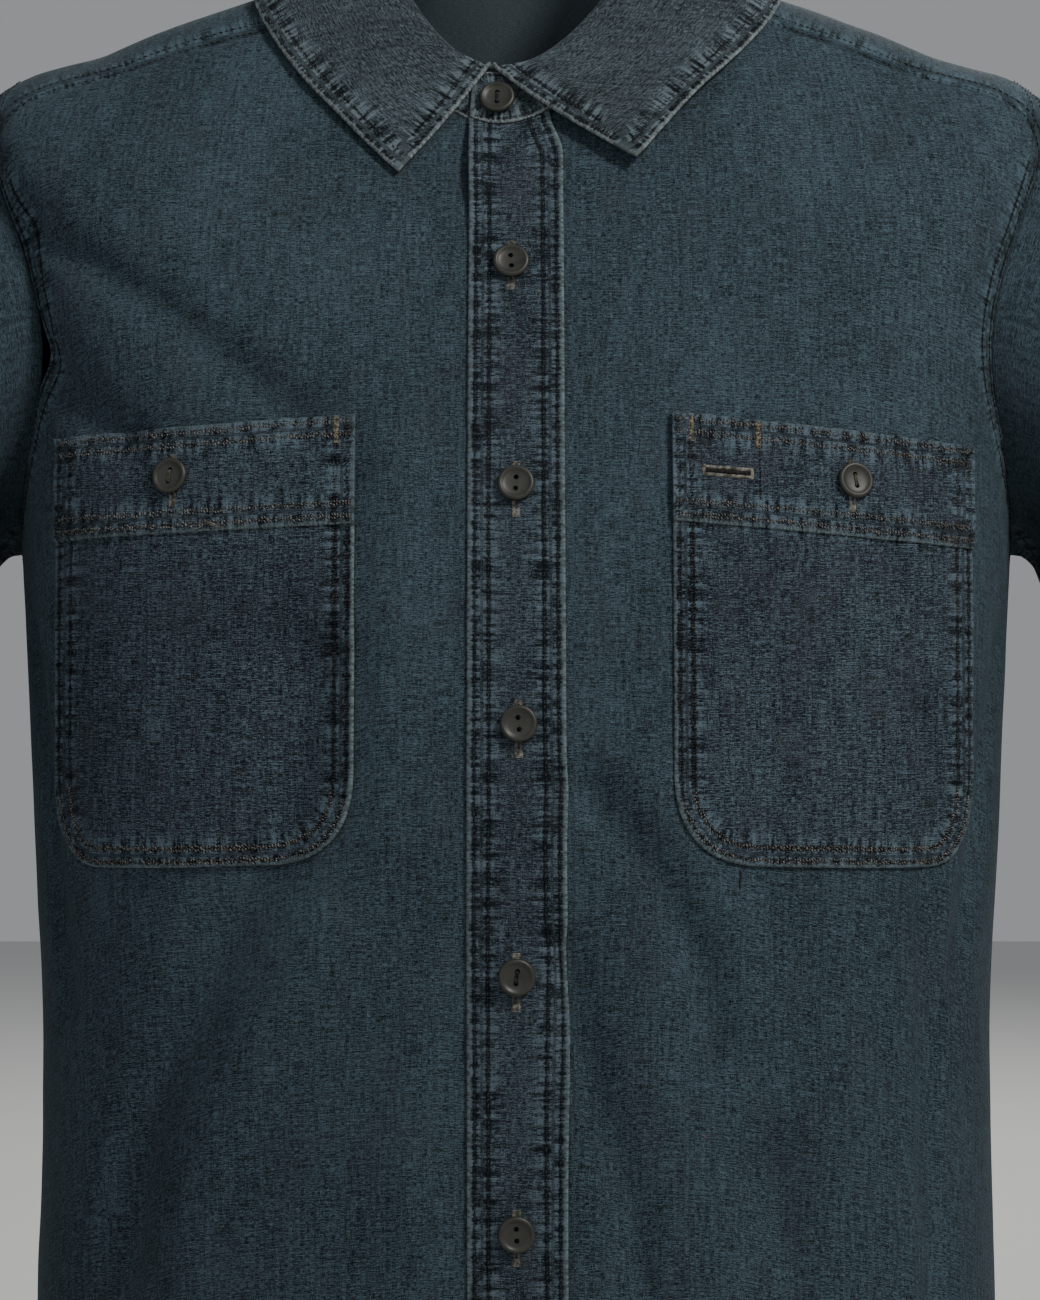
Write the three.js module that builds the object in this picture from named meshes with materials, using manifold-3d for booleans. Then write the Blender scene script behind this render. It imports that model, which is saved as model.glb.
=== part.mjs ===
// A long-sleeved denim shirt, buttoned up and filled out as when it is worn, with nobody in it.
// Millimetres, +Z up, the front towards -Y, the wearer's left towards +X.
// The origin is the point between the two side neck points, where the wearer carries the shirt.
import * as THREE from 'three';
import { mergeVertices } from 'three/addons/utils/BufferGeometryUtils.js';
import Module from 'manifold-3d';

const wasm = await Module();
wasm.setup();

// Cloth and layers
const WALL = 1.2;
const SEAM = 0.3;
const LAYER = 0.35;
const ON_PANEL = WALL + LAYER;
const ON_BAND = 2 * ON_PANEL;

// Front band, from its left edge to its right edge as seen from the front. The right edge spreads
// towards the hem and turns in under the collar.
const BAND_LEFT = -18.9;
const BAND_RIGHT = 18.9;
const BAND_SPREAD = 1.5;
const BAND_NARROWING = 5;
const PANEL_OVERLAP = 4;

// Chest pockets, one on each side of the front band. inner and top are the inner top corner, and
// slope is how far the top edge falls towards the side of the body.
const POCKET_WIDTH = 121;
const POCKET_BOTTOM = -366;
const POCKET_CORNER = 35;
const POCKET_DROOP = 4;
const POCKET_RIGHT = { side: -1, inner: 62.8, top: -192.5, slope: 7.5, button: [-134, -217] };
const POCKET_LEFT = { side: 1, inner: 60.8, top: -191.2, slope: 12, button: [131, -219] };

// Collar
const STAND_FRONT = 22;
const STAND_BACK = 32;
const STAND_LEAN = 0.94;
const LEAF_CLEARANCE = 3.4;

// Cuffs
const CUFF_HEIGHT = 64;
const CUFF_WALL = 1.6;
const CUFF_START = 200;
const CUFF_LAP = 32;

// Buttons
const BUTTON_RADIUS = 7.2;
const BUTTON_HEIGHT = 2.7;
const BUTTON_SIDES = 14;
const HOLE_RADIUS = 1.0;
const HOLE_SPACING = 4.6;
const FRONT_BUTTONS = [[-2, -131.8], [0, -220.8], [1, -312.6], [0, -408.6], [0, -507], [0, -605]];

// Level sections of the body from the hem up to the neck. The three heights are at the centre
// front, at the side and at the centre back; past the shoulder row the side is the shoulder ridge.
const BODY_COLUMNS = ['frontZ', 'sideZ', 'backZ', 'halfWidth', 'frontDepth', 'backDepth', 'square'];
const BODY = [
  /* hem      */ [-712, -650, -730, 198, 126, 110, 0.030],
  /* hip      */ [-600, -565, -610, 198, 133, 113, 0.034],
  /* waist    */ [-470, -455, -470, 195, 139, 112, 0.038],
  /* rib      */ [-365, -350, -350, 199, 141, 119, 0.040],
  /* underarm */ [-275, -245, -255, 204, 131, 125, 0.036],
  /* mid arm  */ [-205, -150, -170, 206, 112, 125, 0.030],
  /* shoulder */ [-155, -62, -97, 220, 93, 109, 0.022],
  /* slope    */ [-122, -36, -50, 168, 79, 93, 0.015],
  /* collar   */ [-96, -16, -14, 115, 67, 77, 0.008],
  /* neck     */ [-73, 0, 12, 68, 55.5, 64, 0.000],
];
const HEM = 0;
const UNDERARM = 4;
const SHOULDER = 6.25;
const ARMHOLE_MIDDLE = (UNDERARM + SHOULDER) / 2;
const ARMHOLE_HALF = (SHOULDER - UNDERARM) / 2;
const NECK = 9;
const NECK_TILT = 0.2;

// The armhole, as degrees forward and back of the side at its widest
const ARMHOLE_FRONT = 25;
const ARMHOLE_BACK = 23;
const ARMHOLE_POWER = 0.75;

// The yoke's seams
const YOKE_CORNER = 5.75;
const YOKE_NECK_ANGLE = 62;
const YOKE_CENTRE = 6.08;

// Large folds: height is above the plain form (troughs are negative) and width is the half width.
// A point is the arc from the centre of the front or back, at 200 mm to a radian, and its Z.
const ARC = 200;
const FRONT_FOLDS = [
  { height: -5.0, width: 11,
    points: [[-218, -112], [-166, -131], [-131, -148], [-107, -167], [-80, -189]] },
  { height: -5.5, width: 12, points: [[-222, -166], [-188, -186], [-156, -201]] },
  { height: 3.4, width: 12, points: [[-42, -206], [-41, -280], [-42, -353]] },
  { height: 3.0, width: 13, points: [[-34, -418], [-35, -487], [-30, -580]] },
  { height: -9.0, width: 17, points: [[-74, -288], [-77, -327], [-85, -361], [-105, -391], [-129, -430],
    [-148, -459], [-163, -497], [-176, -560], [-184, -640]] },
  { height: 3.6, width: 15, points: [[-66, -395], [-92, -432], [-112, -470], [-128, -520]] },
  { height: 2.6, width: 10, points: [[40, -328], [57, -356], [74, -388], [84, -422]] },
  { height: -4.5, width: 9, points: [[23, -337], [38, -356], [51, -376], [64, -405], [69, -441]] },
  { height: -5.0, width: 8, points: [[15, -398], [23, -434], [30, -464], [40, -498], [46, -556]] },
  { height: -3.8, width: 9, points: [[138, -244], [127, -283], [118, -319]] },
  { height: -4.0, width: 12, points: [[168, -309], [183, -340], [172, -375], [180, -441], [186, -540]] },
  { height: -5.0, width: 16, points: [[92, -486], [112, -560], [104, -660]] },
  { height: -5.0, width: 16, points: [[-66, -560], [-80, -640], [-74, -700]] },
  { height: 4.0, width: 15, points: [[-132, -590], [-122, -690]] },
  { height: -4.0, width: 13, points: [[252, -285], [222, -335], [206, -410]] },
  { height: -4.0, width: 13, points: [[-254, -280], [-228, -345], [-218, -420]] },
];
const BACK_FOLDS = [
  { height: -4.0, width: 16, points: [[-62, -118], [-68, -250], [-60, -372]] },
  { height: -3.6, width: 14, points: [[64, -118], [72, -230], [58, -335]] },
  { height: -5.0, width: 15, points: [[-152, -420], [-62, -452], [42, -446]] },
  { height: 4.0, width: 15, points: [[-64, -486], [58, -494], [150, -462]] },
  { height: -5.0, width: 16, points: [[-112, -530], [-128, -615], [-130, -700]] },
  { height: -4.0, width: 15, points: [[20, -545], [32, -620], [28, -712]] },
  { height: -5.0, width: 16, points: [[140, -530], [156, -610], [150, -690]] },
  { height: -4.0, width: 13, points: [[-224, -262], [-172, -330], [-150, -402]] },
  { height: -4.0, width: 13, points: [[226, -272], [186, -334], [162, -412]] },
];

// Rings down the sleeve on the wearer's left: outer and inner points, middle and half depth along Y
const SLEEVE_COLUMNS = ['outX', 'outZ', 'inX', 'inZ', 'midY', 'depth'];
const SLEEVE = [
  [211, -51, 204, -245, 0, 56],
  [233, -63, 211, -243.5, 0, 59],
  [254, -80, 217, -248, 0, 65],
  [273, -102, 220.5, -256, -1, 71],
  [289, -129, 223, -265, -1, 74],
  [301, -161, 225, -276, -2, 75],
  [309, -197, 227, -290, -2, 75],
  [314, -236, 229, -308, -3, 74],
  [318, -277, 232, -331, -4, 73],
  [321, -320, 235.5, -360, -6, 71],
  [325, -363, 240, -392, -9, 68],
  [329, -405, 245, -425, -13, 65],
  [333, -447, 251, -461, -18, 62],
  [337, -489, 257, -498, -24, 59],
  [341, -531, 263.5, -537, -31, 56],
  [344.5, -573, 269.5, -577, -38, 52],
  [346.5, -612, 275, -615, -45, 46],
];
const SLEEVE_END = SLEEVE.length - 1;
const CAP_RINGS = 5;
const SLEEVE_ROWS = 20;
const SLEEVE_SEAM_GAP = 0.6;

// Sleeve folds: a point is degrees round from the outside of the arm by the front, and its ring
const SLEEVE_ARC = 60;
const SLEEVE_RING = 36;
const SLEEVE_FOLDS = [
  { height: -2.5, width: 12, points: [[62, 2.4], [72, 5.2]] },
  { height: -3.0, width: 12, points: [[300, 2.2], [288, 5.4]] },
  { height: -4.0, width: 12, points: [[166, 5.2], [122, 6.4], [84, 8.2]] },
  { height: -4.0, width: 12, points: [[196, 5.4], [238, 6.8], [276, 8.8]] },
  { height: -4.5, width: 12, points: [[62, 9.7], [112, 10.5], [162, 10.2]] },
  { height: -4.5, width: 11, points: [[74, 11.5], [122, 11.8], [168, 11.3]] },
  { height: -3.5, width: 11, points: [[102, 13.1], [180, 13.4], [238, 12.8]] },
  { height: -3.5, width: 11, points: [[18, 14.5], [82, 14.1], [138, 14.6]] },
  { height: -3.5, width: 11, points: [[205, 14.8], [262, 14.2], [318, 14.6]] },
];
const SLIT_COLUMN_ANGLE = 233;
const SLIT_HALF_WIDTH = 0.8;

// The collar leaf's free edge: share of the way from the centre back to the point, degrees from
// the centre front, and the body section that it hangs over
const LEAF_EDGE = [
  [0.00, 180, 8.55],
  [0.20, 142, 8.45],
  [0.35, 112, 8.30],
  [0.50, 90, 8.15],
  [0.65, 68, 8.05],
  [0.80, 47, 8.02],
  [0.90, 33, 8.02],
  [1.00, 21, 7.74],
];
const LEAF_SKEW = -0.02;
const LEAF_FRONT = -9;
const LEAF_ROWS = [0, 0.17, 0.33, 0.5, 0.65, 0.78, 0.9, 1];

const rad = THREE.MathUtils.degToRad;
const vec = (x, y, z) => new THREE.Vector3(x, y, z);
const steps = (count, from, to) =>
  Array.from({ length: count + 1 }, (_, i) => from + ((to - from) * i) / count);

function smooth(from, to, x) {
  const s = THREE.MathUtils.clamp((x - from) / (to - from), 0, 1);
  return s * s * (3 - 2 * s);
}

// One row of a table between its rows, on a Catmull-Rom curve
function tableRow(table, columns, t) {
  const last = table.length - 1;
  const at = THREE.MathUtils.clamp(t, 0, last);
  const i = Math.min(Math.floor(at), last - 1);
  const f = at - i;
  const row = {};
  columns.forEach((name, c) => {
    const p1 = table[i][c];
    const p2 = table[i + 1][c];
    const p0 = i > 0 ? table[i - 1][c] : 2 * p1 - p2;
    const p3 = i + 2 <= last ? table[i + 2][c] : 2 * p2 - p1;
    row[name] = 0.5 * (2 * p1 + (p2 - p0) * f + (2 * p0 - 5 * p1 + 4 * p2 - p3) * f * f
      + (3 * p1 - p0 - 3 * p2 + p3) * f * f * f);
  });
  return row;
}

// The unit normal of a surface that is given as a function of two values
function normalOf(surface, u, v, du, dv) {
  const across = surface(u + du, v).sub(surface(u - du, v));
  const along = surface(u, v + dv).sub(surface(u, v - dv));
  return across.cross(along).normalize();
}

// Soft fold height at a point, from the distance to each fold's line
function foldHeight(folds, x, z) {
  let total = 0;
  for (const fold of folds) {
    let nearest = Infinity;
    for (let i = 0; i + 1 < fold.points.length; i += 1) {
      const [ax, az] = fold.points[i];
      const [bx, bz] = fold.points[i + 1];
      const dx = bx - ax;
      const dz = bz - az;
      const s = THREE.MathUtils.clamp(((x - ax) * dx + (z - az) * dz) / (dx * dx + dz * dz), 0, 1);
      nearest = Math.min(nearest, Math.hypot(x - ax - s * dx, z - az - s * dz));
    }
    total += fold.height * Math.exp(-((nearest / fold.width) ** 2));
  }
  return total;
}

// The plain body form: angle is round from the centre front towards +X, section is a BODY row
function bodyForm(angle, section) {
  const row = tableRow(BODY, BODY_COLUMNS, section);
  const s = Math.sin(angle);
  const c = Math.cos(angle);
  const x = row.halfWidth * ((1 + 4 * row.square) * s - 4 * row.square * s ** 3);
  const depth = (1 + row.square) * c - row.square * Math.cos(3 * angle);
  const y = c >= 0 ? -row.frontDepth * depth : -row.backDepth * depth;
  const endZ = c >= 0 ? row.frontZ : row.backZ;
  const tilt = NECK_TILT * x * c * c * smooth(7, NECK, section);
  return vec(x, y, row.sideZ + (endZ - row.sideZ) * c * c + tilt);
}

// The body form with its folds
function body(angle, section) {
  const point = bodyForm(angle, section);
  const turn = Math.atan2(Math.sin(angle), Math.cos(angle));
  const fromBack = Math.atan2(Math.sin(angle - Math.PI), Math.cos(angle - Math.PI));
  const height = foldHeight(FRONT_FOLDS, ARC * turn, point.z)
    + foldHeight(BACK_FOLDS, ARC * fromBack, point.z);
  return point.addScaledVector(normalOf(bodyForm, angle, section, 0.002, 0.005), height);
}

// A point that lies a given height off the body
function onBody(angle, section, lift) {
  return body(angle, section).addScaledVector(normalOf(body, angle, section, 0.01, 0.03), lift);
}

// The angle at which the body is x from the centre front
function angleAt(x, section) {
  const row = tableRow(BODY, BODY_COLUMNS, section);
  let s = x / row.halfWidth;
  for (let i = 0; i < 6; i += 1) {
    const miss = (1 + 4 * row.square) * s - 4 * row.square * s ** 3 - x / row.halfWidth;
    s -= miss / (1 + 4 * row.square - 12 * row.square * s * s);
  }
  return Math.asin(s);
}

// The section at which the centre front has a given height
function sectionAt(angle, z) {
  let low = HEM;
  let high = NECK;
  for (let i = 0; i < 30; i += 1) {
    const middle = (low + high) / 2;
    if (bodyForm(angle, middle).z < z) low = middle;
    else high = middle;
  }
  return (low + high) / 2;
}

// Half the seam gap as an angle and as a share of a section
function seamAngle(angle, section) {
  const step = 0.01;
  const span = bodyForm(angle + step, section).distanceTo(bodyForm(angle - step, section));
  return (SEAM * step) / span;
}
function seamSection(angle, section) {
  const step = 0.02;
  const span = bodyForm(angle, section + step).distanceTo(bodyForm(angle, section - step));
  return (SEAM * step) / span;
}

// Edges of the panels
const bandRight = (section) => BAND_RIGHT + BAND_SPREAD * (1 - smooth(0, 5, section))
  - BAND_NARROWING * smooth(8.2, NECK, section);
function armholeAngle(section, reach) {
  const round = Math.sin((Math.PI * (section - UNDERARM)) / (SHOULDER - UNDERARM));
  return rad(90) + rad(reach) * Math.max(round, 0) ** ARMHOLE_POWER;
}
const armholeFront = (section) => armholeAngle(section, -ARMHOLE_FRONT);
const armholeBack = (section) => armholeAngle(section, ARMHOLE_BACK);
function yokeFront(section) {
  const share = (section - YOKE_CORNER) / (NECK - YOKE_CORNER);
  return THREE.MathUtils.lerp(armholeFront(YOKE_CORNER), rad(YOKE_NECK_ANGLE), share);
}

// Sections shared by the panels, the sleeves and what lies on them
const BELOW_ARM = steps(15, HEM, UNDERARM);
const ARMHOLE_SECTIONS = [4.1, 4.3, 4.55, 4.85, 5.15, 5.45, YOKE_CORNER];
const YOKE_ARMHOLE = [6, 6.17, SHOULDER];
const FRONT_SECTIONS = [...BELOW_ARM, ...ARMHOLE_SECTIONS, 6.1, 6.5, 6.95, 7.45, 7.95, 8.5, NECK];

// A mesh from points and faces, turned the right way out
function meshFrom(name, positions, faces, material) {
  let volume = 0;
  for (const [a, b, c] of faces) volume += positions[a].dot(positions[b].clone().cross(positions[c]));
  const index = faces.flatMap(([a, b, c]) => (volume > 0 ? [a, b, c] : [a, c, b]));
  const geometry = new THREE.BufferGeometry();
  geometry.setAttribute('position',
    new THREE.Float32BufferAttribute(positions.flatMap((p) => [p.x, p.y, p.z]), 3));
  geometry.setIndex(index);
  geometry.computeVertexNormals();
  const mesh = new THREE.Mesh(geometry, material);
  mesh.name = name;
  return mesh;
}

// A closed wall between an inner and an outer copy of the same net of quads
function wall(inner, outer, quads) {
  const count = inner.length;
  const positions = [...inner, ...outer];
  const faces = [];
  const edges = new Map();
  for (const [a, b, c, d] of quads) {
    faces.push([a + count, b + count, c + count], [a + count, c + count, d + count]);
    faces.push([a, c, b], [a, d, c]);
    for (const [from, to] of [[a, b], [b, c], [c, d], [d, a]]) {
      if (edges.has(`${to},${from}`)) edges.delete(`${to},${from}`);
      else edges.set(`${from},${to}`, [from, to]);
    }
  }
  for (const [from, to] of edges.values()) {
    faces.push([from, to, to + count], [from, to + count, from + count]);
  }
  return { positions, faces };
}

// The same quad, started at the corner that splits it along its outer diagonal
function splitOutward(quad, inner, outer) {
  const [a, b, c, d] = quad.map((corner) => inner[corner]);
  const away = outer[quad[0]].clone().sub(inner[quad[0]]);
  const first = a.clone().add(c).dot(away);
  const second = b.clone().add(d).dot(away);
  return first >= second ? quad : [...quad.slice(1), quad[0]];
}

// A wall over a grid of rows; each row is a list of points and the rows are equally long
function gridWall(innerRows, outerRows, rounded = false) {
  const across = innerRows[0].length;
  const inner = innerRows.flat();
  const outer = outerRows.flat();
  const quads = [];
  for (let r = 0; r + 1 < innerRows.length; r += 1) {
    for (let c = 0; c + 1 < across; c += 1) {
      const first = r * across + c;
      const quad = [first, first + 1, first + across + 1, first + across];
      quads.push(rounded ? splitOutward(quad, inner, outer) : quad);
    }
  }
  return wall(inner, outer, quads);
}

// A wall that follows the body, over rows of [angle, section]
function bodyWall(rows, lift, rounded = false) {
  const at = (height) => rows.map((row) => row.map(([a, t]) => onBody(a, t, height)));
  return gridWall(at(lift), at(lift + WALL), rounded);
}

// Materials
const cloth = (color) => new THREE.MeshStandardMaterial({ color, roughness: 0.92, metalness: 0 });
const bodyDenim = cloth(0x2f3d45);
const pocketDenim = cloth(0x36404a);
const bandDenim = cloth(0x31424b);
const collarDenim = cloth(0x34464f);
const buttonPlastic = new THREE.MeshStandardMaterial({ color: 0x38352f, roughness: 0.55, metalness: 0 });

const shirt = new THREE.Group();
const addWall = (name, { positions, faces }, material) =>
  shirt.add(meshFrom(name, positions, faces, material));

// Front panels. side is -1 on the wearer's right and +1 on the left.
const OUTWARD_COLUMNS = 11;
const BAND_SHARES = [0.31, 0.62];
function bandColumns(section) {
  const right = bandRight(section);
  return BAND_SHARES.map((share) => BAND_LEFT + share * (right - BAND_LEFT));
}
function frontEdge(section) {
  if (section <= UNDERARM) return rad(90) - seamAngle(rad(90), section);
  if (section < YOKE_CORNER) return armholeFront(section);
  return yokeFront(section) - seamAngle(yokeFront(section), section);
}
function frontRow(side, section) {
  const right = bandRight(section);
  const under = side > 0
    ? [right - PANEL_OVERLAP, right]
    : [right - PANEL_OVERLAP - SEAM - LAYER, ...bandColumns(section).reverse(), BAND_LEFT];
  const start = angleAt(under[under.length - 1], section);
  const outward = steps(OUTWARD_COLUMNS, start, side * frontEdge(section)).slice(1);
  const angles = [...under.map((x) => angleAt(x, section)), ...outward];
  return angles.sort((a, b) => a - b).map((a) => [a, section]);
}
const frontRows = (side) => FRONT_SECTIONS.map((section) => frontRow(side, section));
addWall('front_right', bodyWall(frontRows(-1), 0), bodyDenim);
addWall('front_left', bodyWall(frontRows(1), 0), bodyDenim);

// The front band, laid over the meeting edges of both fronts
const bandRows = FRONT_SECTIONS.map((section) => {
  const right = bandRight(section);
  const columns = [BAND_LEFT, ...bandColumns(section), right - PANEL_OVERLAP, right];
  return columns.map((x) => [angleAt(x, section), section]);
});
addWall('front_band', bodyWall(bandRows, ON_PANEL), bandDenim);

// Back panel, from one side seam round to the other, up to the yoke seam
const BACK_COLUMNS = 22;
const BACK_SECTIONS = [...steps(14, HEM, UNDERARM), ...ARMHOLE_SECTIONS];
function backSeam(share) {
  const fromSide = 0.5 - Math.abs(share - 0.5);
  return YOKE_CORNER + (YOKE_CENTRE - YOKE_CORNER) * smooth(0, 0.5, fromSide);
}
function backRow(section) {
  const edge = section <= UNDERARM
    ? rad(90) + seamAngle(rad(90), section)
    : armholeBack(section);
  return steps(BACK_COLUMNS, 0, 1).map((share) => {
    const angle = THREE.MathUtils.lerp(edge, 2 * Math.PI - edge, share);
    const top = backSeam(share) - seamSection(angle, backSeam(share));
    return [angle, (section * top) / YOKE_CORNER];
  });
}
addWall('back', bodyWall(BACK_SECTIONS.map(backRow), 0, true), bodyDenim);

// Yoke: over the shoulder ridges, from the back seam to the two front seams and up to the neck
const YOKE_BACK_COLUMNS = 12;
const YOKE_NECK_RIDGE = 84;
const YOKE_NECK_BACK = 106;
function yokeColumns() {
  const { lerp } = THREE.MathUtils;
  const neck = (from, to, share) => [rad(lerp(from, to, share)), NECK];
  const seam = (angle, section) => [angle, section + seamSection(angle, section)];
  const ends = [];
  const gap = seamAngle(armholeFront(YOKE_CORNER), YOKE_CORNER);
  const neckGap = seamAngle(rad(YOKE_NECK_ANGLE), NECK);
  ends.push({
    low: [armholeFront(YOKE_CORNER) + gap, YOKE_CORNER],
    high: [rad(YOKE_NECK_ANGLE) + neckGap, NECK],
  });
  for (const section of YOKE_ARMHOLE) {
    const share = (section - YOKE_CORNER) / (SHOULDER - YOKE_CORNER);
    ends.push({ low: [armholeFront(section), section], high: neck(YOKE_NECK_ANGLE, YOKE_NECK_RIDGE, share) });
  }
  for (const section of YOKE_ARMHOLE.slice(0, -1).reverse()) {
    const share = (SHOULDER - section) / (SHOULDER - YOKE_CORNER);
    ends.push({ low: [armholeBack(section), section], high: neck(YOKE_NECK_RIDGE, YOKE_NECK_BACK, share) });
  }
  const corner = armholeBack(YOKE_CORNER);
  ends.push({ low: seam(corner, YOKE_CORNER), high: neck(YOKE_NECK_BACK, YOKE_NECK_BACK, 0) });
  const across = steps(YOKE_BACK_COLUMNS, 0, 1).slice(1, -1).map((share) => ({
    low: seam(lerp(corner, 2 * Math.PI - corner, share), backSeam(share)),
    high: neck(YOKE_NECK_BACK, 360 - YOKE_NECK_BACK, share),
  }));
  const mirror = ([angle, section]) => [2 * Math.PI - angle, section];
  const otherEnds = ends.map(({ low, high }) => ({ low: mirror(low), high: mirror(high) })).reverse();
  return [...ends, ...across, ...otherEnds];
}
const yokeShares = FRONT_SECTIONS.filter((section) => section >= YOKE_CORNER)
  .map((section) => (section - YOKE_CORNER) / (NECK - YOKE_CORNER));
const yokeRows = yokeShares.map((share) => yokeColumns().map(({ low, high }) => [
  THREE.MathUtils.lerp(low[0], high[0], share),
  THREE.MathUtils.lerp(low[1], high[1], share),
]));
addWall('yoke', bodyWall(yokeRows, 0, true), bodyDenim);

// Sleeves. The table is for the wearer's left; the right sleeve is its mirror image.
function armholePoint(round) {
  const section = ARMHOLE_MIDDLE + ARMHOLE_HALF * Math.cos(round);
  const angle = Math.sin(round) >= 0 ? armholeFront(section) : armholeBack(section);
  return body(angle, section);
}
function ringPoint(row, round) {
  const out = Math.cos(round);
  return vec(
    (row.outX + row.inX) / 2 + ((row.outX - row.inX) / 2) * out,
    row.midY - row.depth * Math.sin(round),
    (row.outZ + row.inZ) / 2 + ((row.outZ - row.inZ) / 2) * out,
  );
}
function sleeveForm(round, ring) {
  const point = ringPoint(tableRow(SLEEVE, SLEEVE_COLUMNS, ring), round);
  const fade = Math.max(0, 1 - (ring / CAP_RINGS) ** 2) ** 2;
  if (fade === 0) return point;
  const plain = ringPoint(tableRow(SLEEVE, SLEEVE_COLUMNS, 0), round);
  return point.addScaledVector(armholePoint(round).sub(plain), fade);
}
const flatSleeveFolds = SLEEVE_FOLDS.map((fold) => ({
  ...fold,
  points: fold.points.map(([degrees, ring]) => [rad(degrees) * SLEEVE_ARC, ring * SLEEVE_RING]),
}));
function sleeve(round, ring) {
  const degrees = THREE.MathUtils.radToDeg(round);
  const turn = ((degrees % 360) + 360) % 360;
  let height = 0;
  for (const shift of [-360, 0, 360]) {
    height += foldHeight(flatSleeveFolds, rad(turn + shift) * SLEEVE_ARC, ring * SLEEVE_RING);
  }
  height *= smooth(0.2, 2, ring) * smooth(SLEEVE_END, SLEEVE_END - 1, ring);
  const at = Math.min(Math.max(ring, 0.05), SLEEVE_END - 0.05);
  return sleeveForm(round, ring).addScaledVector(normalOf(sleeveForm, round, at, 0.01, 0.05), height);
}
function onSleeve(round, ring, lift) {
  const at = Math.min(Math.max(ring, 0.05), SLEEVE_END - 0.05);
  const normal = normalOf(sleeve, round, at, 0.02, 0.05);
  return sleeve(round, ring).addScaledVector(normal, lift);
}

// The sleeve's first ring stands off the armhole's edge far enough for both walls to pass
function armholeRing(round, lift) {
  const section = ARMHOLE_MIDDLE + ARMHOLE_HALF * Math.cos(round);
  const front = Math.sin(round) >= 0;
  const edgeAngle = front ? armholeFront(section) : armholeBack(section);
  const panelNormal = normalOf(body, edgeAngle, section, 0.01, 0.03);
  const along = armholePoint(round + 0.05).sub(armholePoint(round - 0.05)).normalize();
  const into = along.cross(panelNormal).normalize();
  const centre = ringPoint(tableRow(SLEEVE, SLEEVE_COLUMNS, 0), 0)
    .add(ringPoint(tableRow(SLEEVE, SLEEVE_COLUMNS, 0), Math.PI)).multiplyScalar(0.5);
  if (into.dot(centre.sub(body(edgeAngle, section))) < 0) into.negate();
  const normal = normalOf(sleeve, round, 0.3, 0.02, 0.1);
  const clear = SLEEVE_SEAM_GAP + WALL * Math.max(0, -normal.dot(into));
  return body(edgeAngle, section).addScaledVector(into, clear).addScaledVector(normal, lift);
}

const armholeSections = [UNDERARM, ...ARMHOLE_SECTIONS, ...YOKE_ARMHOLE];
const halfRounds = armholeSections.map((section) => Math.acos((section - ARMHOLE_MIDDLE) / ARMHOLE_HALF));
const frontRounds = [...halfRounds].reverse();
const SLEEVE_ROUNDS = [...frontRounds, ...halfRounds.slice(1, -1).map((round) => 2 * Math.PI - round)];
const slitColumn = SLEEVE_ROUNDS.findIndex((round) => round > rad(SLIT_COLUMN_ANGLE));
const SLIT_FIRST_ROW = SLEEVE_ROWS - 4;

function sleeveWall(side) {
  const rings = steps(SLEEVE_ROWS, 0, SLEEVE_END);
  const across = SLEEVE_ROUNDS.length;
  const layers = [0, WALL].map((lift) => rings.flatMap((ring, r) => SLEEVE_ROUNDS.map((round) => (
    r === 0 ? armholeRing(round, lift) : onSleeve(round, ring, lift)))));
  const slit = new Map();
  for (let r = SLIT_FIRST_ROW + 1; r <= SLEEVE_ROWS; r += 1) {
    const width = (SLIT_HALF_WIDTH * (r - SLIT_FIRST_ROW)) / (SLEEVE_ROWS - SLIT_FIRST_ROW);
    const shift = width / SLEEVE_ARC;
    const round = SLEEVE_ROUNDS[slitColumn];
    slit.set(r * across + slitColumn, layers[0].length);
    [0, WALL].forEach((lift, i) => {
      layers[i][r * across + slitColumn] = onSleeve(round - shift, rings[r], lift);
      layers[i].push(onSleeve(round + shift, rings[r], lift));
    });
  }
  const quads = [];
  for (let r = 0; r < SLEEVE_ROWS; r += 1) {
    for (let c = 0; c < across; c += 1) {
      const next = (c + 1) % across;
      const corners = [r * across + c, r * across + next, (r + 1) * across + next, (r + 1) * across + c];
      const beyondSlit = c === slitColumn;
      quads.push(corners.map((corner) => (beyondSlit && slit.has(corner) ? slit.get(corner) : corner)));
    }
  }
  const place = (points) => points.map((p) => vec(p.x * side, p.y, p.z));
  return wall(place(layers[0]), place(layers[1]), quads);
}
addWall('sleeve_right', sleeveWall(-1), bodyDenim);
addWall('sleeve_left', sleeveWall(1), bodyDenim);

// Cuffs: a band round the sleeve's end that laps over itself at the slit
const sleeveEndRow = tableRow(SLEEVE, SLEEVE_COLUMNS, SLEEVE_END);
const cuffAxis = (() => {
  const centre = (ring) => ringPoint(tableRow(SLEEVE, SLEEVE_COLUMNS, ring), Math.PI / 2).setY(0)
    .add(vec(0, tableRow(SLEEVE, SLEEVE_COLUMNS, ring).midY, 0));
  return centre(SLEEVE_END).sub(centre(SLEEVE_END - 1)).normalize();
})();
function cuff(round, down) {
  return ringPoint(sleeveEndRow, round).addScaledVector(cuffAxis, LAYER + down);
}
function onCuff(round, down, lift) {
  return cuff(round, down).addScaledVector(normalOf(cuff, round, down, 0.02, 1), lift);
}
function cuffLift(turn) {
  return (CUFF_WALL + LAYER) * smooth(300, 352, turn);
}
function cuffWall(side) {
  const turns = steps(26, 0, 360 + CUFF_LAP);
  const rows = (lift) => steps(3, 0, CUFF_HEIGHT).map((down) => turns.map((turn) => {
    const p = onCuff(rad(CUFF_START + turn), down, lift + cuffLift(turn));
    return vec(p.x * side, p.y, p.z);
  }));
  return gridWall(rows(0), rows(CUFF_WALL));
}
addWall('cuff_right', cuffWall(-1), bandDenim);
addWall('cuff_left', cuffWall(1), bandDenim);

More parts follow.
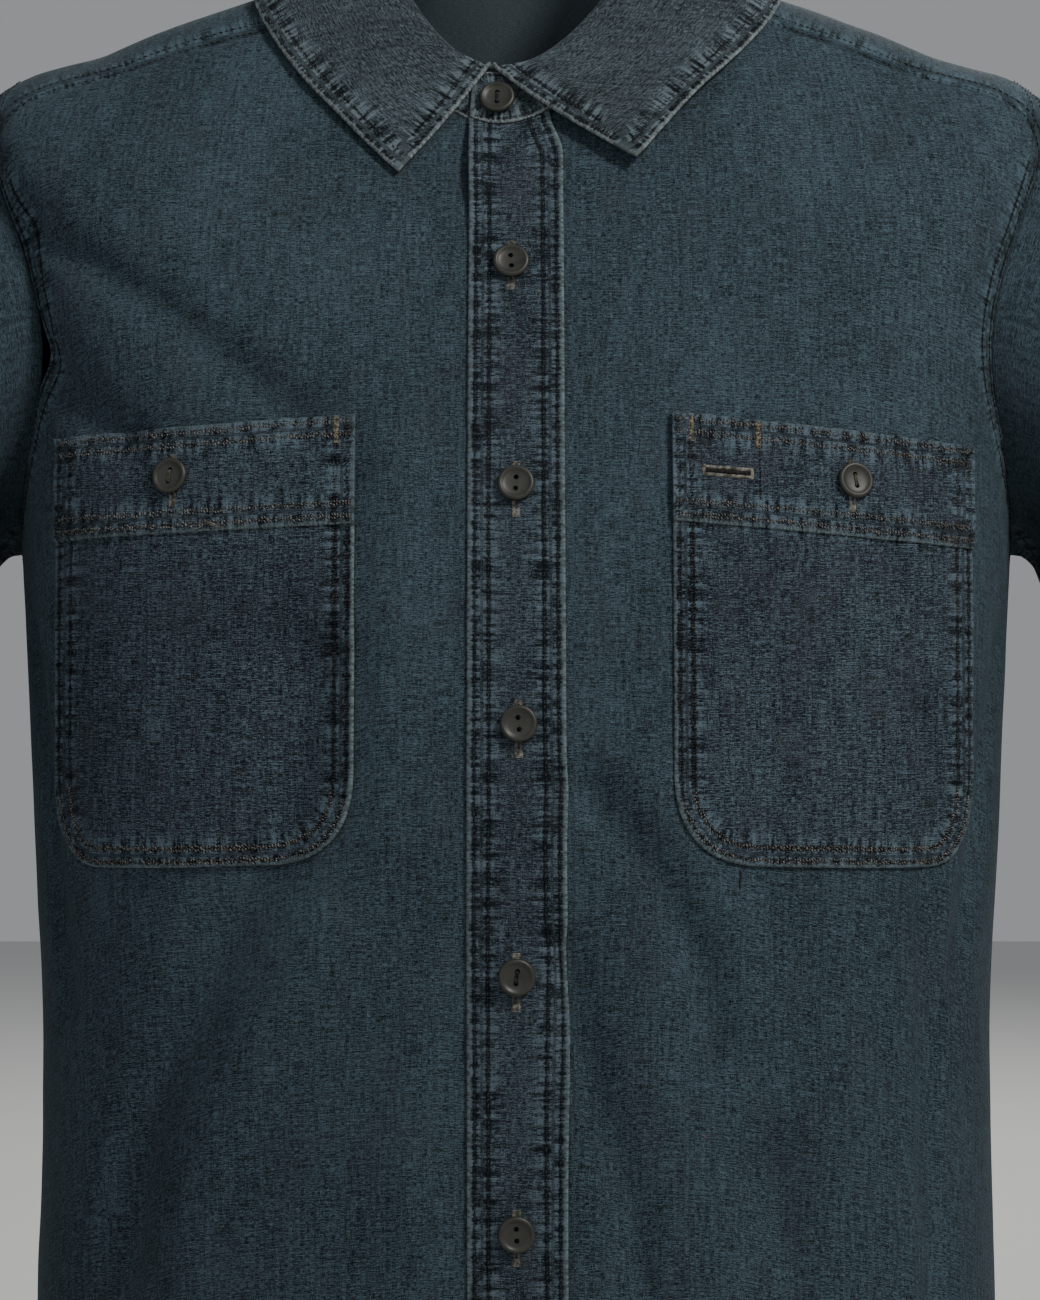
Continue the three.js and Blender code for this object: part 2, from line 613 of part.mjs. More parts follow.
// Collar stand: a band that rises from the neck and laps over itself at the front
// The angles run from the under end on the wearer's right, round the back, to the end on top,
// over the same columns as the panels below.
const degreesOf = ([angle]) => THREE.MathUtils.radToDeg(angle);
const yokeNeck = yokeColumns().map(({ high }) => degreesOf(high));
const standAngles = [
  ...frontRow(-1, NECK).map(degreesOf).reverse(),
  ...yokeNeck.slice(1, -1).map((degrees) => -degrees),
  ...frontRow(1, NECK).map((column) => degreesOf(column) - 360).slice(1).reverse(),
  ...bandRows[bandRows.length - 1].slice(0, -1).map((column) => degreesOf(column) - 360).reverse(),
];
const STAND_UNDER_END = standAngles[0];
const STAND_OVER_END = standAngles[standAngles.length - 1];
function standBase(angle) {
  const rise = 2 * SEAM + WALL * Math.max(0, normalOf(body, angle, NECK - 0.05, 0.01, 0.03).z);
  return body(angle, NECK).add(vec(0, 0, rise));
}
function standTop(angle) {
  const base = standBase(angle);
  const front = Math.cos(angle);
  const lean = STAND_LEAN - 0.07 - 0.07 * front;
  const height = (STAND_BACK + STAND_FRONT) / 2 - ((STAND_BACK - STAND_FRONT) / 2) * front;
  return vec(base.x * STAND_LEAN, base.y * lean, base.z + height);
}
const stand = (angle, share) => standBase(angle).lerp(standTop(angle), share);
function onStand(angle, share, lift) {
  return stand(angle, share).addScaledVector(normalOf(stand, angle, share, 0.02, 0.05), lift);
}
const standLift = (degrees) => ON_PANEL * smooth(-322, -347, degrees);
function standTopShare(degrees) {
  const end = Math.min(STAND_UNDER_END - degrees, degrees - STAND_OVER_END);
  const round = THREE.MathUtils.clamp(end / 9, 0, 1);
  return 0.6 + 0.4 * Math.sqrt(1 - (1 - round) ** 2);
}
function standWall() {
  const rows = (lift) => [0, 0.5, 1].map((up) => standAngles.map((degrees) => (
    onStand(rad(degrees), up * standTopShare(degrees), lift + standLift(degrees)))));
  return gridWall(rows(0), rows(WALL));
}
addWall('collar_stand', standWall(), collarDenim);

// Collar leaf: rolls over the top of the stand and falls to its free edge
function leafEdge(way) {
  const reach = Math.abs(way);
  let i = 0;
  while (i + 2 < LEAF_EDGE.length && LEAF_EDGE[i + 1][0] < reach) i += 1;
  const [fromReach, fromAngle, fromSection] = LEAF_EDGE[i];
  const [toReach, toAngle, toSection] = LEAF_EDGE[i + 1];
  const share = (reach - fromReach) / (toReach - fromReach);
  const angle = THREE.MathUtils.lerp(fromAngle, toAngle, share) * (way < 0 ? -1 : 1);
  const section = THREE.MathUtils.lerp(fromSection, toSection, share) + LEAF_SKEW * way;
  return onBody(rad(angle), section, LEAF_CLEARANCE);
}
function leaf(way, share) {
  const angle = rad(LEAF_FRONT - 180 * (way + 1));
  const top = onStand(angle, 1, 0);
  const out = vec(top.x / 68 ** 2, top.y / 60 ** 2, 0).normalize();
  const roll = smooth(1, 0.92, Math.abs(way));
  const controls = [
    top.clone().add(vec(0, 0, LAYER + 0.25)),
    top.clone().addScaledVector(out, 1.5).add(vec(0, 0, 8)),
    top.clone().addScaledVector(out, 7.6 + roll).add(vec(0, 0, -3)),
    leafEdge(way),
  ];
  return new THREE.CubicBezierCurve3(...controls).getPoint(share);
}
function onLeaf(way, share, lift) {
  const atWay = THREE.MathUtils.clamp(way, -0.995, 0.995);
  const atShare = THREE.MathUtils.clamp(share, 0.01, 0.99);
  const normal = normalOf(leaf, atWay, atShare, 0.004, 0.01);
  return leaf(way, share).addScaledVector(normal, lift);
}
function leafWall() {
  const ways = [-1, -0.97, ...steps(34, -0.93, 0.93), 0.97, 1];
  const rows = (lift) => LEAF_ROWS.map((share) => ways.map((way) => onLeaf(way, share, lift)));
  return gridWall(rows(0), rows(WALL));
}
addWall('collar_leaf', leafWall(), collarDenim);

// Solids for cutting
function toSolid(geometry) {
  const bare = geometry.clone();
  for (const name of ['normal', 'uv']) bare.deleteAttribute(name);
  const merged = mergeVertices(bare, 1e-4);
  return new wasm.Manifold(new wasm.Mesh({
    numProp: 3,
    vertProperties: new Float32Array(merged.attributes.position.array),
    triVerts: new Uint32Array(merged.index.array),
  }));
}
function fromSolid(name, solid, material) {
  const cut = solid.getMesh();
  const geometry = new THREE.BufferGeometry();
  geometry.setAttribute('position', new THREE.BufferAttribute(Float32Array.from(cut.vertProperties), 3));
  geometry.setIndex(new THREE.BufferAttribute(Uint32Array.from(cut.triVerts), 1));
  const mesh = new THREE.Mesh(geometry, material);
  mesh.name = name;
  return mesh;
}

// Chest pockets: the part of a layer over the front panel that lies inside the pocket's outline
function pocketOutline({ side, inner, top, slope }) {
  const outer = inner + POCKET_WIDTH;
  const start = POCKET_BOTTOM + POCKET_CORNER;
  const low = (share) => POCKET_BOTTOM - POCKET_DROOP * share;
  const shape = new THREE.Shape();
  shape.moveTo(side * inner, top);
  shape.lineTo(side * inner, start);
  shape.quadraticCurveTo(side * inner, POCKET_BOTTOM, side * (inner + POCKET_CORNER), low(0.3));
  shape.lineTo(side * (outer - POCKET_CORNER * 0.6), low(0.8));
  shape.quadraticCurveTo(side * outer, low(1), side * outer, start);
  shape.lineTo(side * outer, top - slope);
  shape.closePath();
  return shape;
}
function pocket(name, size) {
  const { side, inner } = size;
  const near = (a) => Math.abs(a) > angleAt(inner - 14, UNDERARM);
  const sections = FRONT_SECTIONS.filter((section) => section > 2.6 && section < 5.5);
  const kept = frontRow(side, UNDERARM).map(([a]) => near(a));
  const rows = sections.map((section) => frontRow(side, section).filter((_, i) => kept[i]));
  const { positions, faces } = bodyWall(rows, ON_PANEL);
  const slab = toSolid(meshFrom('slab', positions, faces, pocketDenim).geometry);
  const cut = { depth: 200, bevelEnabled: false, curveSegments: 6 };
  const prism = new THREE.ExtrudeGeometry(pocketOutline(size), cut);
  prism.rotateX(Math.PI / 2);
  prism.translate(0, -20, 0);
  shirt.add(fromSolid(name, slab.intersect(toSolid(prism)), pocketDenim));
}
pocket('pocket_right', POCKET_RIGHT);
pocket('pocket_left', POCKET_LEFT);

// Buttons: dished, with a raised rim and two holes one above the other
function buttonGeometry() {
  const profile = [
    [0, 0], [BUTTON_RADIUS - 0.9, 0], [BUTTON_RADIUS, 0.9], [BUTTON_RADIUS - 0.2, 2.2],
    [BUTTON_RADIUS - 1.1, BUTTON_HEIGHT], [BUTTON_RADIUS - 2.7, 1.9], [0, 1.6],
  ].map(([x, y]) => new THREE.Vector2(x, y));
  let solid = toSolid(new THREE.LatheGeometry(profile, BUTTON_SIDES));
  for (const way of [-1, 1]) {
    const hole = new THREE.CylinderGeometry(HOLE_RADIUS, HOLE_RADIUS, 8, 6);
    hole.translate(0, 0, (way * HOLE_SPACING) / 2);
    solid = solid.subtract(toSolid(hole));
  }
  return fromSolid('button', solid, buttonPlastic).geometry;
}
const button = buttonGeometry();

// A button with its back at a point, facing along a direction, its holes in line with the up way
function addButton(name, point, normal, up) {
  const mesh = new THREE.Mesh(button, buttonPlastic);
  const right = up.clone().cross(normal).normalize();
  const holes = right.clone().cross(normal).normalize();
  mesh.setRotationFromMatrix(new THREE.Matrix4().makeBasis(right, normal, holes));
  mesh.position.copy(point);
  mesh.name = name;
  shirt.add(mesh);
}
function buttonOnBody(name, x, z, lift) {
  const section = sectionAt(angleAt(x, 4), z);
  const angle = angleAt(x, section);
  const normal = normalOf(body, angle, section, 0.04, 0.12);
  addButton(name, body(angle, section).addScaledVector(normal, lift), normal, vec(0, 0, 1));
}
const BUTTON_GAP = 0.35;
const POCKET_BUTTON_GAP = 0.6;
FRONT_BUTTONS.forEach(([x, z], i) => {
  buttonOnBody(`button_front_${i + 1}`, x, z, ON_BAND + BUTTON_GAP);
});
buttonOnBody('button_pocket_right', ...POCKET_RIGHT.button, ON_BAND + POCKET_BUTTON_GAP);
buttonOnBody('button_pocket_left', ...POCKET_LEFT.button, ON_BAND + POCKET_BUTTON_GAP);

const COLLAR_BUTTON = { angle: -6.5, share: 0.44 };
addButton('button_collar',
  onStand(rad(COLLAR_BUTTON.angle), COLLAR_BUTTON.share, ON_BAND + BUTTON_GAP),
  normalOf(stand, rad(COLLAR_BUTTON.angle), 0.5, 0.02, 0.05), vec(0, 0, 1));

for (const [name, side] of [['button_cuff_right', -1], ['button_cuff_left', 1]]) {
  const round = rad(CUFF_START + CUFF_LAP / 2);
  const place = (p) => vec(p.x * side, p.y, p.z);
  const normal = place(normalOf(cuff, round, CUFF_HEIGHT / 2, 0.02, 1));
  const lift = 2 * CUFF_WALL + LAYER + BUTTON_GAP + 0.25;
  addButton(name, place(onCuff(round, CUFF_HEIGHT / 2, lift)), normal, place(cuffAxis.clone().negate()));
}

export default shirt;
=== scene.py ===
import bpy
import numpy as np
from mathutils import Matrix, Vector


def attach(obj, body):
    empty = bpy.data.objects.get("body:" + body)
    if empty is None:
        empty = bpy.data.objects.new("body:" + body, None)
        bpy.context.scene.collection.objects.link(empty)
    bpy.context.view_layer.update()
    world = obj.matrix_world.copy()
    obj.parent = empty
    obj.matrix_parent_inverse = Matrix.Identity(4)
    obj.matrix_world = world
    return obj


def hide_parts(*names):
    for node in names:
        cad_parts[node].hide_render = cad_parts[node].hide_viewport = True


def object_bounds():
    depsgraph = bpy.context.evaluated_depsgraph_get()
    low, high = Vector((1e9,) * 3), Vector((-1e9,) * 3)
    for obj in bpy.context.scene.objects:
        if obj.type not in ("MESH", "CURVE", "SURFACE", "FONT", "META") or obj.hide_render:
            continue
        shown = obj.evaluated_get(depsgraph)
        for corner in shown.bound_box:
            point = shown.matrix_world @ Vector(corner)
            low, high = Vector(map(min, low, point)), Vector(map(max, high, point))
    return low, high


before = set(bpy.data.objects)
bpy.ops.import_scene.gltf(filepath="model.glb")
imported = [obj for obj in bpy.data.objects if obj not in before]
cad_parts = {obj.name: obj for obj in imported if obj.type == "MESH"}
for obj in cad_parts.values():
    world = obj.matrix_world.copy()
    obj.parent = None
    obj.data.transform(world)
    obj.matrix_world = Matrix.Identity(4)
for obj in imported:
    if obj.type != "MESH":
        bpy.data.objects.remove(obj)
CAD_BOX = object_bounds()
MM = 0.001

# Cloth and layers, as in the solids
WALL = 1.2
SEAM = 0.3
LAYER = 0.35
ON_PANEL = WALL + LAYER
ON_BAND = 2 * ON_PANEL

# Front band and chest pockets
BAND_LEFT = -18.9
BAND_RIGHT = 18.9
BAND_SPREAD = 1.5
BAND_NARROWING = 5.0
PANEL_OVERLAP = 4.0
POCKET_WIDTH = 121.0
POCKET_BOTTOM = -366.0
POCKET_CORNER = 35.0
POCKET_DROOP = 4.0

# Collar: heights, lean and width of the stand, millimetres to a degree round the neck, and the leaf
STAND_FRONT = 22.0
STAND_BACK = 32.0
STAND_LEAN = 0.94
STAND_WIDTH = 28.0
NECK_ARC = 1.1
LEAF_CLEARANCE = 3.4
LEAF_HALF_WIDTH = 68.0
LEAF_HALF_DEPTH = 60.0

# Cuffs and buttons
CUFF_HEIGHT = 64.0
CUFF_WALL = 1.6
CUFF_START = 200.0
CUFF_LAP = 32.0
BUTTON_RADIUS = 7.2
HOLE_RADIUS = 1.0
HOLE_SPACING = 4.6
BUTTON_GAP = 0.35
POCKET_BUTTON_GAP = 0.6
FRONT_BUTTONS = [(-2, -131.8), (0, -220.8), (1, -312.6), (0, -408.6), (0, -507), (0, -605)]
COLLAR_BUTTON = (-6.5, 0.44)

# Body sections from the hem to the neck:
# frontZ, sideZ, backZ, halfWidth, frontDepth, backDepth, square
BODY = np.array([
    [-712, -650, -730, 198, 126, 110, 0.030],
    [-600, -565, -610, 198, 133, 113, 0.034],
    [-470, -455, -470, 195, 139, 112, 0.038],
    [-365, -350, -350, 199, 141, 119, 0.040],
    [-275, -245, -255, 204, 131, 125, 0.036],
    [-205, -150, -170, 206, 112, 125, 0.030],
    [-155, -62, -97, 220, 93, 109, 0.022],
    [-122, -36, -50, 168, 79, 93, 0.015],
    [-96, -16, -14, 115, 67, 77, 0.008],
    [-73, 0, 12, 68, 55.5, 64, 0.000],
])
UNDERARM = 4.0
SHOULDER = 6.25
ARMHOLE_MIDDLE = (UNDERARM + SHOULDER) / 2
ARMHOLE_HALF = (SHOULDER - UNDERARM) / 2
NECK = 9.0
NECK_TILT = 0.2
ARMHOLE_FRONT = 25.0
ARMHOLE_BACK = 23.0
ARMHOLE_POWER = 0.75
YOKE_CORNER = 5.75
YOKE_NECK_ANGLE = 62.0
YOKE_NECK_RIDGE = 84.0
YOKE_NECK_BACK = 106.0
YOKE_CENTRE = 6.08

# Folds: height, half width, and points of arc (200 mm to a radian) and Z
ARC = 200.0
FRONT_FOLDS = [
    (-5.0, 11, [(-218, -112), (-166, -131), (-131, -148), (-107, -167), (-80, -189)]),
    (-5.5, 12, [(-222, -166), (-188, -186), (-156, -201)]),
    (3.4, 12, [(-42, -206), (-41, -280), (-42, -353)]),
    (3.0, 13, [(-34, -418), (-35, -487), (-30, -580)]),
    (-9.0, 17, [(-74, -288), (-77, -327), (-85, -361), (-105, -391), (-129, -430), (-148, -459),
                (-163, -497), (-176, -560), (-184, -640)]),
    (3.6, 15, [(-66, -395), (-92, -432), (-112, -470), (-128, -520)]),
    (2.6, 10, [(40, -328), (57, -356), (74, -388), (84, -422)]),
    (-4.5, 9, [(23, -337), (38, -356), (51, -376), (64, -405), (69, -441)]),
    (-5.0, 8, [(15, -398), (23, -434), (30, -464), (40, -498), (46, -556)]),
    (-3.8, 9, [(138, -244), (127, -283), (118, -319)]),
    (-4.0, 12, [(168, -309), (183, -340), (172, -375), (180, -441), (186, -540)]),
    (-5.0, 16, [(92, -486), (112, -560), (104, -660)]),
    (-5.0, 16, [(-66, -560), (-80, -640), (-74, -700)]),
    (4.0, 15, [(-132, -590), (-122, -690)]),
    (-4.0, 13, [(252, -285), (222, -335), (206, -410)]),
    (-4.0, 13, [(-254, -280), (-228, -345), (-218, -420)]),
]
BACK_FOLDS = [
    (-4.0, 16, [(-62, -118), (-68, -250), (-60, -372)]),
    (-3.6, 14, [(64, -118), (72, -230), (58, -335)]),
    (-5.0, 15, [(-152, -420), (-62, -452), (42, -446)]),
    (4.0, 15, [(-64, -486), (58, -494), (150, -462)]),
    (-5.0, 16, [(-112, -530), (-128, -615), (-130, -700)]),
    (-4.0, 15, [(20, -545), (32, -620), (28, -712)]),
    (-5.0, 16, [(140, -530), (156, -610), (150, -690)]),
    (-4.0, 13, [(-224, -262), (-172, -330), (-150, -402)]),
    (-4.0, 13, [(226, -272), (186, -334), (162, -412)]),
]

# Rings down the wearer's left sleeve: outX, outZ, inX, inZ, midY, depth
SLEEVE = np.array([
    [211, -51, 204, -245, 0, 56],
    [233, -63, 211, -243.5, 0, 59],
    [254, -80, 217, -248, 0, 65],
    [273, -102, 220.5, -256, -1, 71],
    [289, -129, 223, -265, -1, 74],
    [301, -161, 225, -276, -2, 75],
    [309, -197, 227, -290, -2, 75],
    [314, -236, 229, -308, -3, 74],
    [318, -277, 232, -331, -4, 73],
    [321, -320, 235.5, -360, -6, 71],
    [325, -363, 240, -392, -9, 68],
    [329, -405, 245, -425, -13, 65],
    [333, -447, 251, -461, -18, 62],
    [337, -489, 257, -498, -24, 59],
    [341, -531, 263.5, -537, -31, 56],
    [344.5, -573, 269.5, -577, -38, 52],
    [346.5, -612, 275, -615, -45, 46],
])
SLEEVE_END = len(SLEEVE) - 1
CAP_RINGS = 5
SLEEVE_SEAM_GAP = 0.6
SLEEVE_ARC = 60.0
SLEEVE_RING = 36.0
SLIT_ROUND = 236.0
SLIT_FIRST_RING = 12.8
SLIT_HALF_WIDTH = 0.8
SLEEVE_SEAM_ROUND = 178.0
SLEEVE_COLUMNS = 96
SLEEVE_ROWS = 134

# Sleeve folds: height, half width, and points of degrees round and ring
SLEEVE_FOLDS = [
    (-2.5, 12, [(62, 2.4), (72, 5.2)]),
    (-3.0, 12, [(300, 2.2), (288, 5.4)]),
    (-4.0, 12, [(166, 5.2), (122, 6.4), (84, 8.2)]),
    (-4.0, 12, [(196, 5.4), (238, 6.8), (276, 8.8)]),
    (-4.5, 12, [(62, 9.7), (112, 10.5), (162, 10.2)]),
    (-4.5, 11, [(74, 11.5), (122, 11.8), (168, 11.3)]),
    (-3.5, 11, [(102, 13.1), (180, 13.4), (238, 12.8)]),
    (-3.5, 11, [(18, 14.5), (82, 14.1), (138, 14.6)]),
    (-3.5, 11, [(205, 14.8), (262, 14.2), (318, 14.6)]),
]

# The collar leaf's free edge: share from the centre back to the point, degrees, body section
LEAF_EDGE = np.array([
    [0.00, 180, 8.55],
    [0.20, 142, 8.45],
    [0.35, 112, 8.30],
    [0.50, 90, 8.15],
    [0.65, 68, 8.05],
    [0.80, 47, 8.02],
    [0.90, 33, 8.02],
    [1.00, 21, 7.74],
])
LEAF_SKEW = -0.02
LEAF_FRONT = -9.0
LEAF_SPRING = 3.6

rad = np.radians


def smooth(start, end, x):
    s = np.clip((x - start) / (end - start), 0, 1)
    return s * s * (3 - 2 * s)


def bell(x, width):
    return np.exp(-((x / width) ** 2))


def vec(x, y, z):
    return np.stack(np.broadcast_arrays(x, y, z), axis=-1).astype(float)


def unit(v):
    return v / np.maximum(np.linalg.norm(v, axis=-1, keepdims=True), 1e-12)


def lerp(a, b, share):
    return a + (b - a) * share


# Arrays of one shape, from numbers or arrays
def same_shape(*values):
    return np.broadcast_arrays(*(np.asarray(value, float) for value in values))


# How far each point of a line is from its start
def run_of(line):
    return np.concatenate([[0], np.cumsum(np.linalg.norm(np.diff(line, axis=0), axis=1))])


# A line's columns at given distances from its start
def at_run(at, run, line):
    return np.stack([np.interp(at, run, column) for column in line.T], axis=-1)


# Smooth noise from -1 to 1 over a fixed lattice
LATTICE = np.random.default_rng(11).random((64, 64)) * 2 - 1


def noise(x, y, seed=0):
    x = np.asarray(x, float) + 7.31 * seed
    y = np.asarray(y, float) + 3.17 * seed
    i = np.floor(x).astype(int)
    j = np.floor(y).astype(int)
    fx = x - i
    fy = y - j
    fx = fx * fx * (3 - 2 * fx)
    fy = fy * fy * (3 - 2 * fy)
    low = lerp(LATTICE[i % 64, j % 64], LATTICE[(i + 1) % 64, j % 64], fx)
    high = lerp(LATTICE[i % 64, (j + 1) % 64], LATTICE[(i + 1) % 64, (j + 1) % 64], fx)
    return lerp(low, high, fy)


# One row of a table between its rows, on a Catmull-Rom curve
def table_row(table, t):
    last = len(table) - 1
    at = np.clip(np.asarray(t, float), 0, last)
    i = np.minimum(np.floor(at).astype(int), last - 1)
    f = (at - i)[..., None]
    ends = np.vstack([2 * table[0] - table[1], table, 2 * table[-1] - table[-2]])
    p0, p1, p2, p3 = (ends[i + k] for k in range(4))
    row = 0.5 * (2 * p1 + (p2 - p0) * f + (2 * p0 - 5 * p1 + 4 * p2 - p3) * f * f
                 + (3 * p1 - p0 - 3 * p2 + p3) * f ** 3)
    return np.moveaxis(row, -1, 0)


# How far a table of folds lifts the cloth at each point
def fold_height(folds, x, z):
    total = np.zeros_like(x)
    for height, width, points in folds:
        nearest = np.full_like(x, np.inf)
        for (ax, az), (bx, bz) in zip(points, points[1:]):
            dx = bx - ax
            dz = bz - az
            s = np.clip(((x - ax) * dx + (z - az) * dz) / (dx * dx + dz * dz), 0, 1)
            nearest = np.minimum(nearest, np.hypot(x - ax - s * dx, z - az - s * dz))
        total += height * bell(nearest, width)
    return total


# A surface given by two values, with its normal and lines drawn on it
class Surface:
    def __init__(self, place, du, dv, keep=None):
        self.place = place
        self.du = du
        self.dv = dv
        self.keep = keep or (lambda u, v: (u, v))

    def slopes(self, u, v):
        u, v = self.keep(u, v)
        across = self.place(u + self.du, v) - self.place(u - self.du, v)
        along = self.place(u, v + self.dv) - self.place(u, v - self.dv)
        return across / (2 * self.du), along / (2 * self.dv)

    def normal(self, u, v):
        across, along = self.slopes(u, v)
        return unit(np.cross(across, along))

    def frame(self, u, v):
        return self.place(u, v), self.normal(u, v)

    # The line that runs a distance beside a line, on the side of the point named by toward
    def inset(self, u, v, distance, toward):
        across, along = self.slopes(u, v)
        line = self.place(u, v)
        beside = unit(np.cross(np.cross(across, along), unit(np.gradient(line, axis=0))))
        middle = len(line) // 2
        goal = self.place(*same_shape(*toward))
        if np.dot(beside[middle], goal - line[middle]) < 0:
            beside = -beside
        step = beside * distance
        aa = (across * across).sum(-1)
        ab = (across * along).sum(-1)
        bb = (along * along).sum(-1)
        ra = (across * step).sum(-1)
        rb = (along * step).sum(-1)
        det = aa * bb - ab * ab
        return u + (ra * bb - rb * ab) / det, v + (rb * aa - ra * ab) / det


# The body form and its folds
def body_form(a, t):
    front_z, side_z, back_z, half, front_depth, back_depth, square = table_row(BODY, t)
    s = np.sin(a)
    c = np.cos(a)
    x = half * ((1 + 4 * square) * s - 4 * square * s ** 3)
    depth = (1 + square) * c - square * np.cos(3 * a)
    y = np.where(c >= 0, -front_depth * depth, -back_depth * depth)
    end_z = np.where(c >= 0, front_z, back_z)
    tilt = NECK_TILT * x * c * c * smooth(7, NECK, t)
    return vec(x, y, side_z + (end_z - side_z) * c * c + tilt)


plain_body = Surface(body_form, 0.002, 0.005)


def wrapped(a):
    return np.arctan2(np.sin(a), np.cos(a))


def body(a, t):
    a, t = same_shape(a, t)
    point, normal = plain_body.frame(a, t)
    x, y, z = np.moveaxis(point, -1, 0)
    height = fold_height(FRONT_FOLDS, ARC * wrapped(a), z)
    height += fold_height(BACK_FOLDS, ARC * wrapped(a - np.pi), z)
    height += 0.55 * noise((x + 0.6 * y) / 34, z / 58, 1) + 0.3 * noise((x + 0.6 * y) / 13, z / 24, 2)
    return point + normal * height[..., None]


on_body = Surface(body, 0.01, 0.03)


# The angle on the body's front at a section and an X
def angle_at(x, t):
    row = table_row(BODY, t)
    half, square = row[3], row[6]
    s = x / half
    for _ in range(6):
        miss = (1 + 4 * square) * s - 4 * square * s ** 3 - x / half
        s = s - miss / (1 + 4 * square - 12 * square * s * s)
    return np.arcsin(s)


# The body's section at an angle and a height, by halving
def section_at(a, z):
    low = np.zeros_like(z, dtype=float)
    high = np.full_like(z, NECK, dtype=float)
    for _ in range(30):
        middle = (low + high) / 2
        below = body_form(a, middle)[..., 2] < z
        low = np.where(below, middle, low)
        high = np.where(below, high, middle)
    return (low + high) / 2


# The body's angle and section under a point seen from the front
def under(x, z):
    x = np.asarray(x, float)
    t = np.full_like(x, 4.0)
    for _ in range(12):
        a = angle_at(x, t)
        miss = body_form(a, t)[..., 2] - z
        slope = (body_form(a, t + 0.02)[..., 2] - body_form(a, t - 0.02)[..., 2]) / 0.04
        t = np.clip(t - miss / slope, 0, NECK)
    return angle_at(x, t), t


# The seams' width as an angle and as a share of a section
def seam_angle(a, t):
    span = np.linalg.norm(body_form(a + 0.01, t) - body_form(a - 0.01, t), axis=-1)
    return SEAM * 0.01 / span


def seam_section(a, t):
    span = np.linalg.norm(body_form(a, t + 0.02) - body_form(a, t - 0.02), axis=-1)
    return SEAM * 0.02 / span


# The X of the front band's edge on the wearer's left
def band_right(t):
    return BAND_RIGHT + BAND_SPREAD * (1 - smooth(0, 5, t)) - BAND_NARROWING * smooth(8.2, NECK, t)


# The angle of the armhole's edge at a section; reach is how far it cuts into the panel in degrees
def armhole_angle(t, reach):
    wave = np.sin(np.pi * (t - UNDERARM) / (SHOULDER - UNDERARM))
    return rad(90) + rad(reach) * np.maximum(wave, 0) ** ARMHOLE_POWER


def armhole_front(t):
    return armhole_angle(t, -ARMHOLE_FRONT)


def armhole_back(t):
    return armhole_angle(t, ARMHOLE_BACK)


def yoke_front(t):
    return lerp(armhole_front(YOKE_CORNER), rad(YOKE_NECK_ANGLE), (t - YOKE_CORNER) / (NECK - YOKE_CORNER))


# An angle on the wearer's left side, or the one across from it on the right side
def mirrored(a, side):
    return np.pi - side * (np.pi - a)


# The section of the yoke's seam across the back
def back_seam(share):
    return YOKE_CORNER + (YOKE_CENTRE - YOKE_CORNER) * smooth(0, 0.5, 0.5 - np.abs(share - 0.5))


# Even spacing along a line of points
def evenly(points, step):
    run = run_of(points)
    count = max(2, int(round(run[-1] / step)) + 1)
    return at_run(np.linspace(0, run[-1], count), run, points)


# Sections at even spacing up the body at one angle
def even_sections(angle, low, high, step):
    t = np.linspace(low, high, 400)
    run = run_of(body_form(np.full_like(t, angle), t))
    return np.interp(np.linspace(0, run[-1], int(run[-1] / step) + 2), run, t)


# Shares of a length, with a few close rows at one or both of its free edges
def close_ended(length, step, first=True, last=True):
    close = np.array([0.0, 0.25, 0.6, 1.1, 1.8])
    middle = np.linspace(2.8, length - 2.8, max(2, int((length - 5.6) / step) + 1))
    start = close if first else np.array([0.0, 1.4])
    end = length - close[::-1] if last else length - np.array([1.4, 0.0])
    return np.concatenate([start, middle, end]) / length


# How far each point of a grid is along its row or column, from the middle one
def run_along(points, axis):
    steps = np.linalg.norm(np.diff(points, axis=axis), axis=-1)
    run = np.insert(np.cumsum(steps, axis=axis), 0, 0, axis=axis)
    return run - run.take([run.shape[axis] // 2], axis=axis)


# Distance from each point to a line, and how far along the line it is
def beside_line(points, line):
    line = evenly(line, 1.0)
    tangent = unit(np.gradient(line, axis=0))
    flat = points.reshape(-1, 3)
    distance = np.empty(len(flat))
    arc = np.empty(len(flat))
    for start in range(0, len(flat), 8000):
        block = flat[start:start + 8000]
        squares = (line ** 2).sum(1) - 2 * block @ line.T
        i = squares.argmin(1)
        away = block - line[i]
        offset = np.clip((away * tangent[i]).sum(1), -0.6, 0.6)
        left = away - tangent[i] * offset[:, None]
        distance[start:start + 8000] = np.linalg.norm(left, axis=1)
        arc[start:start + 8000] = i + offset
    return distance.reshape(points.shape[:-1]), arc.reshape(points.shape[:-1])


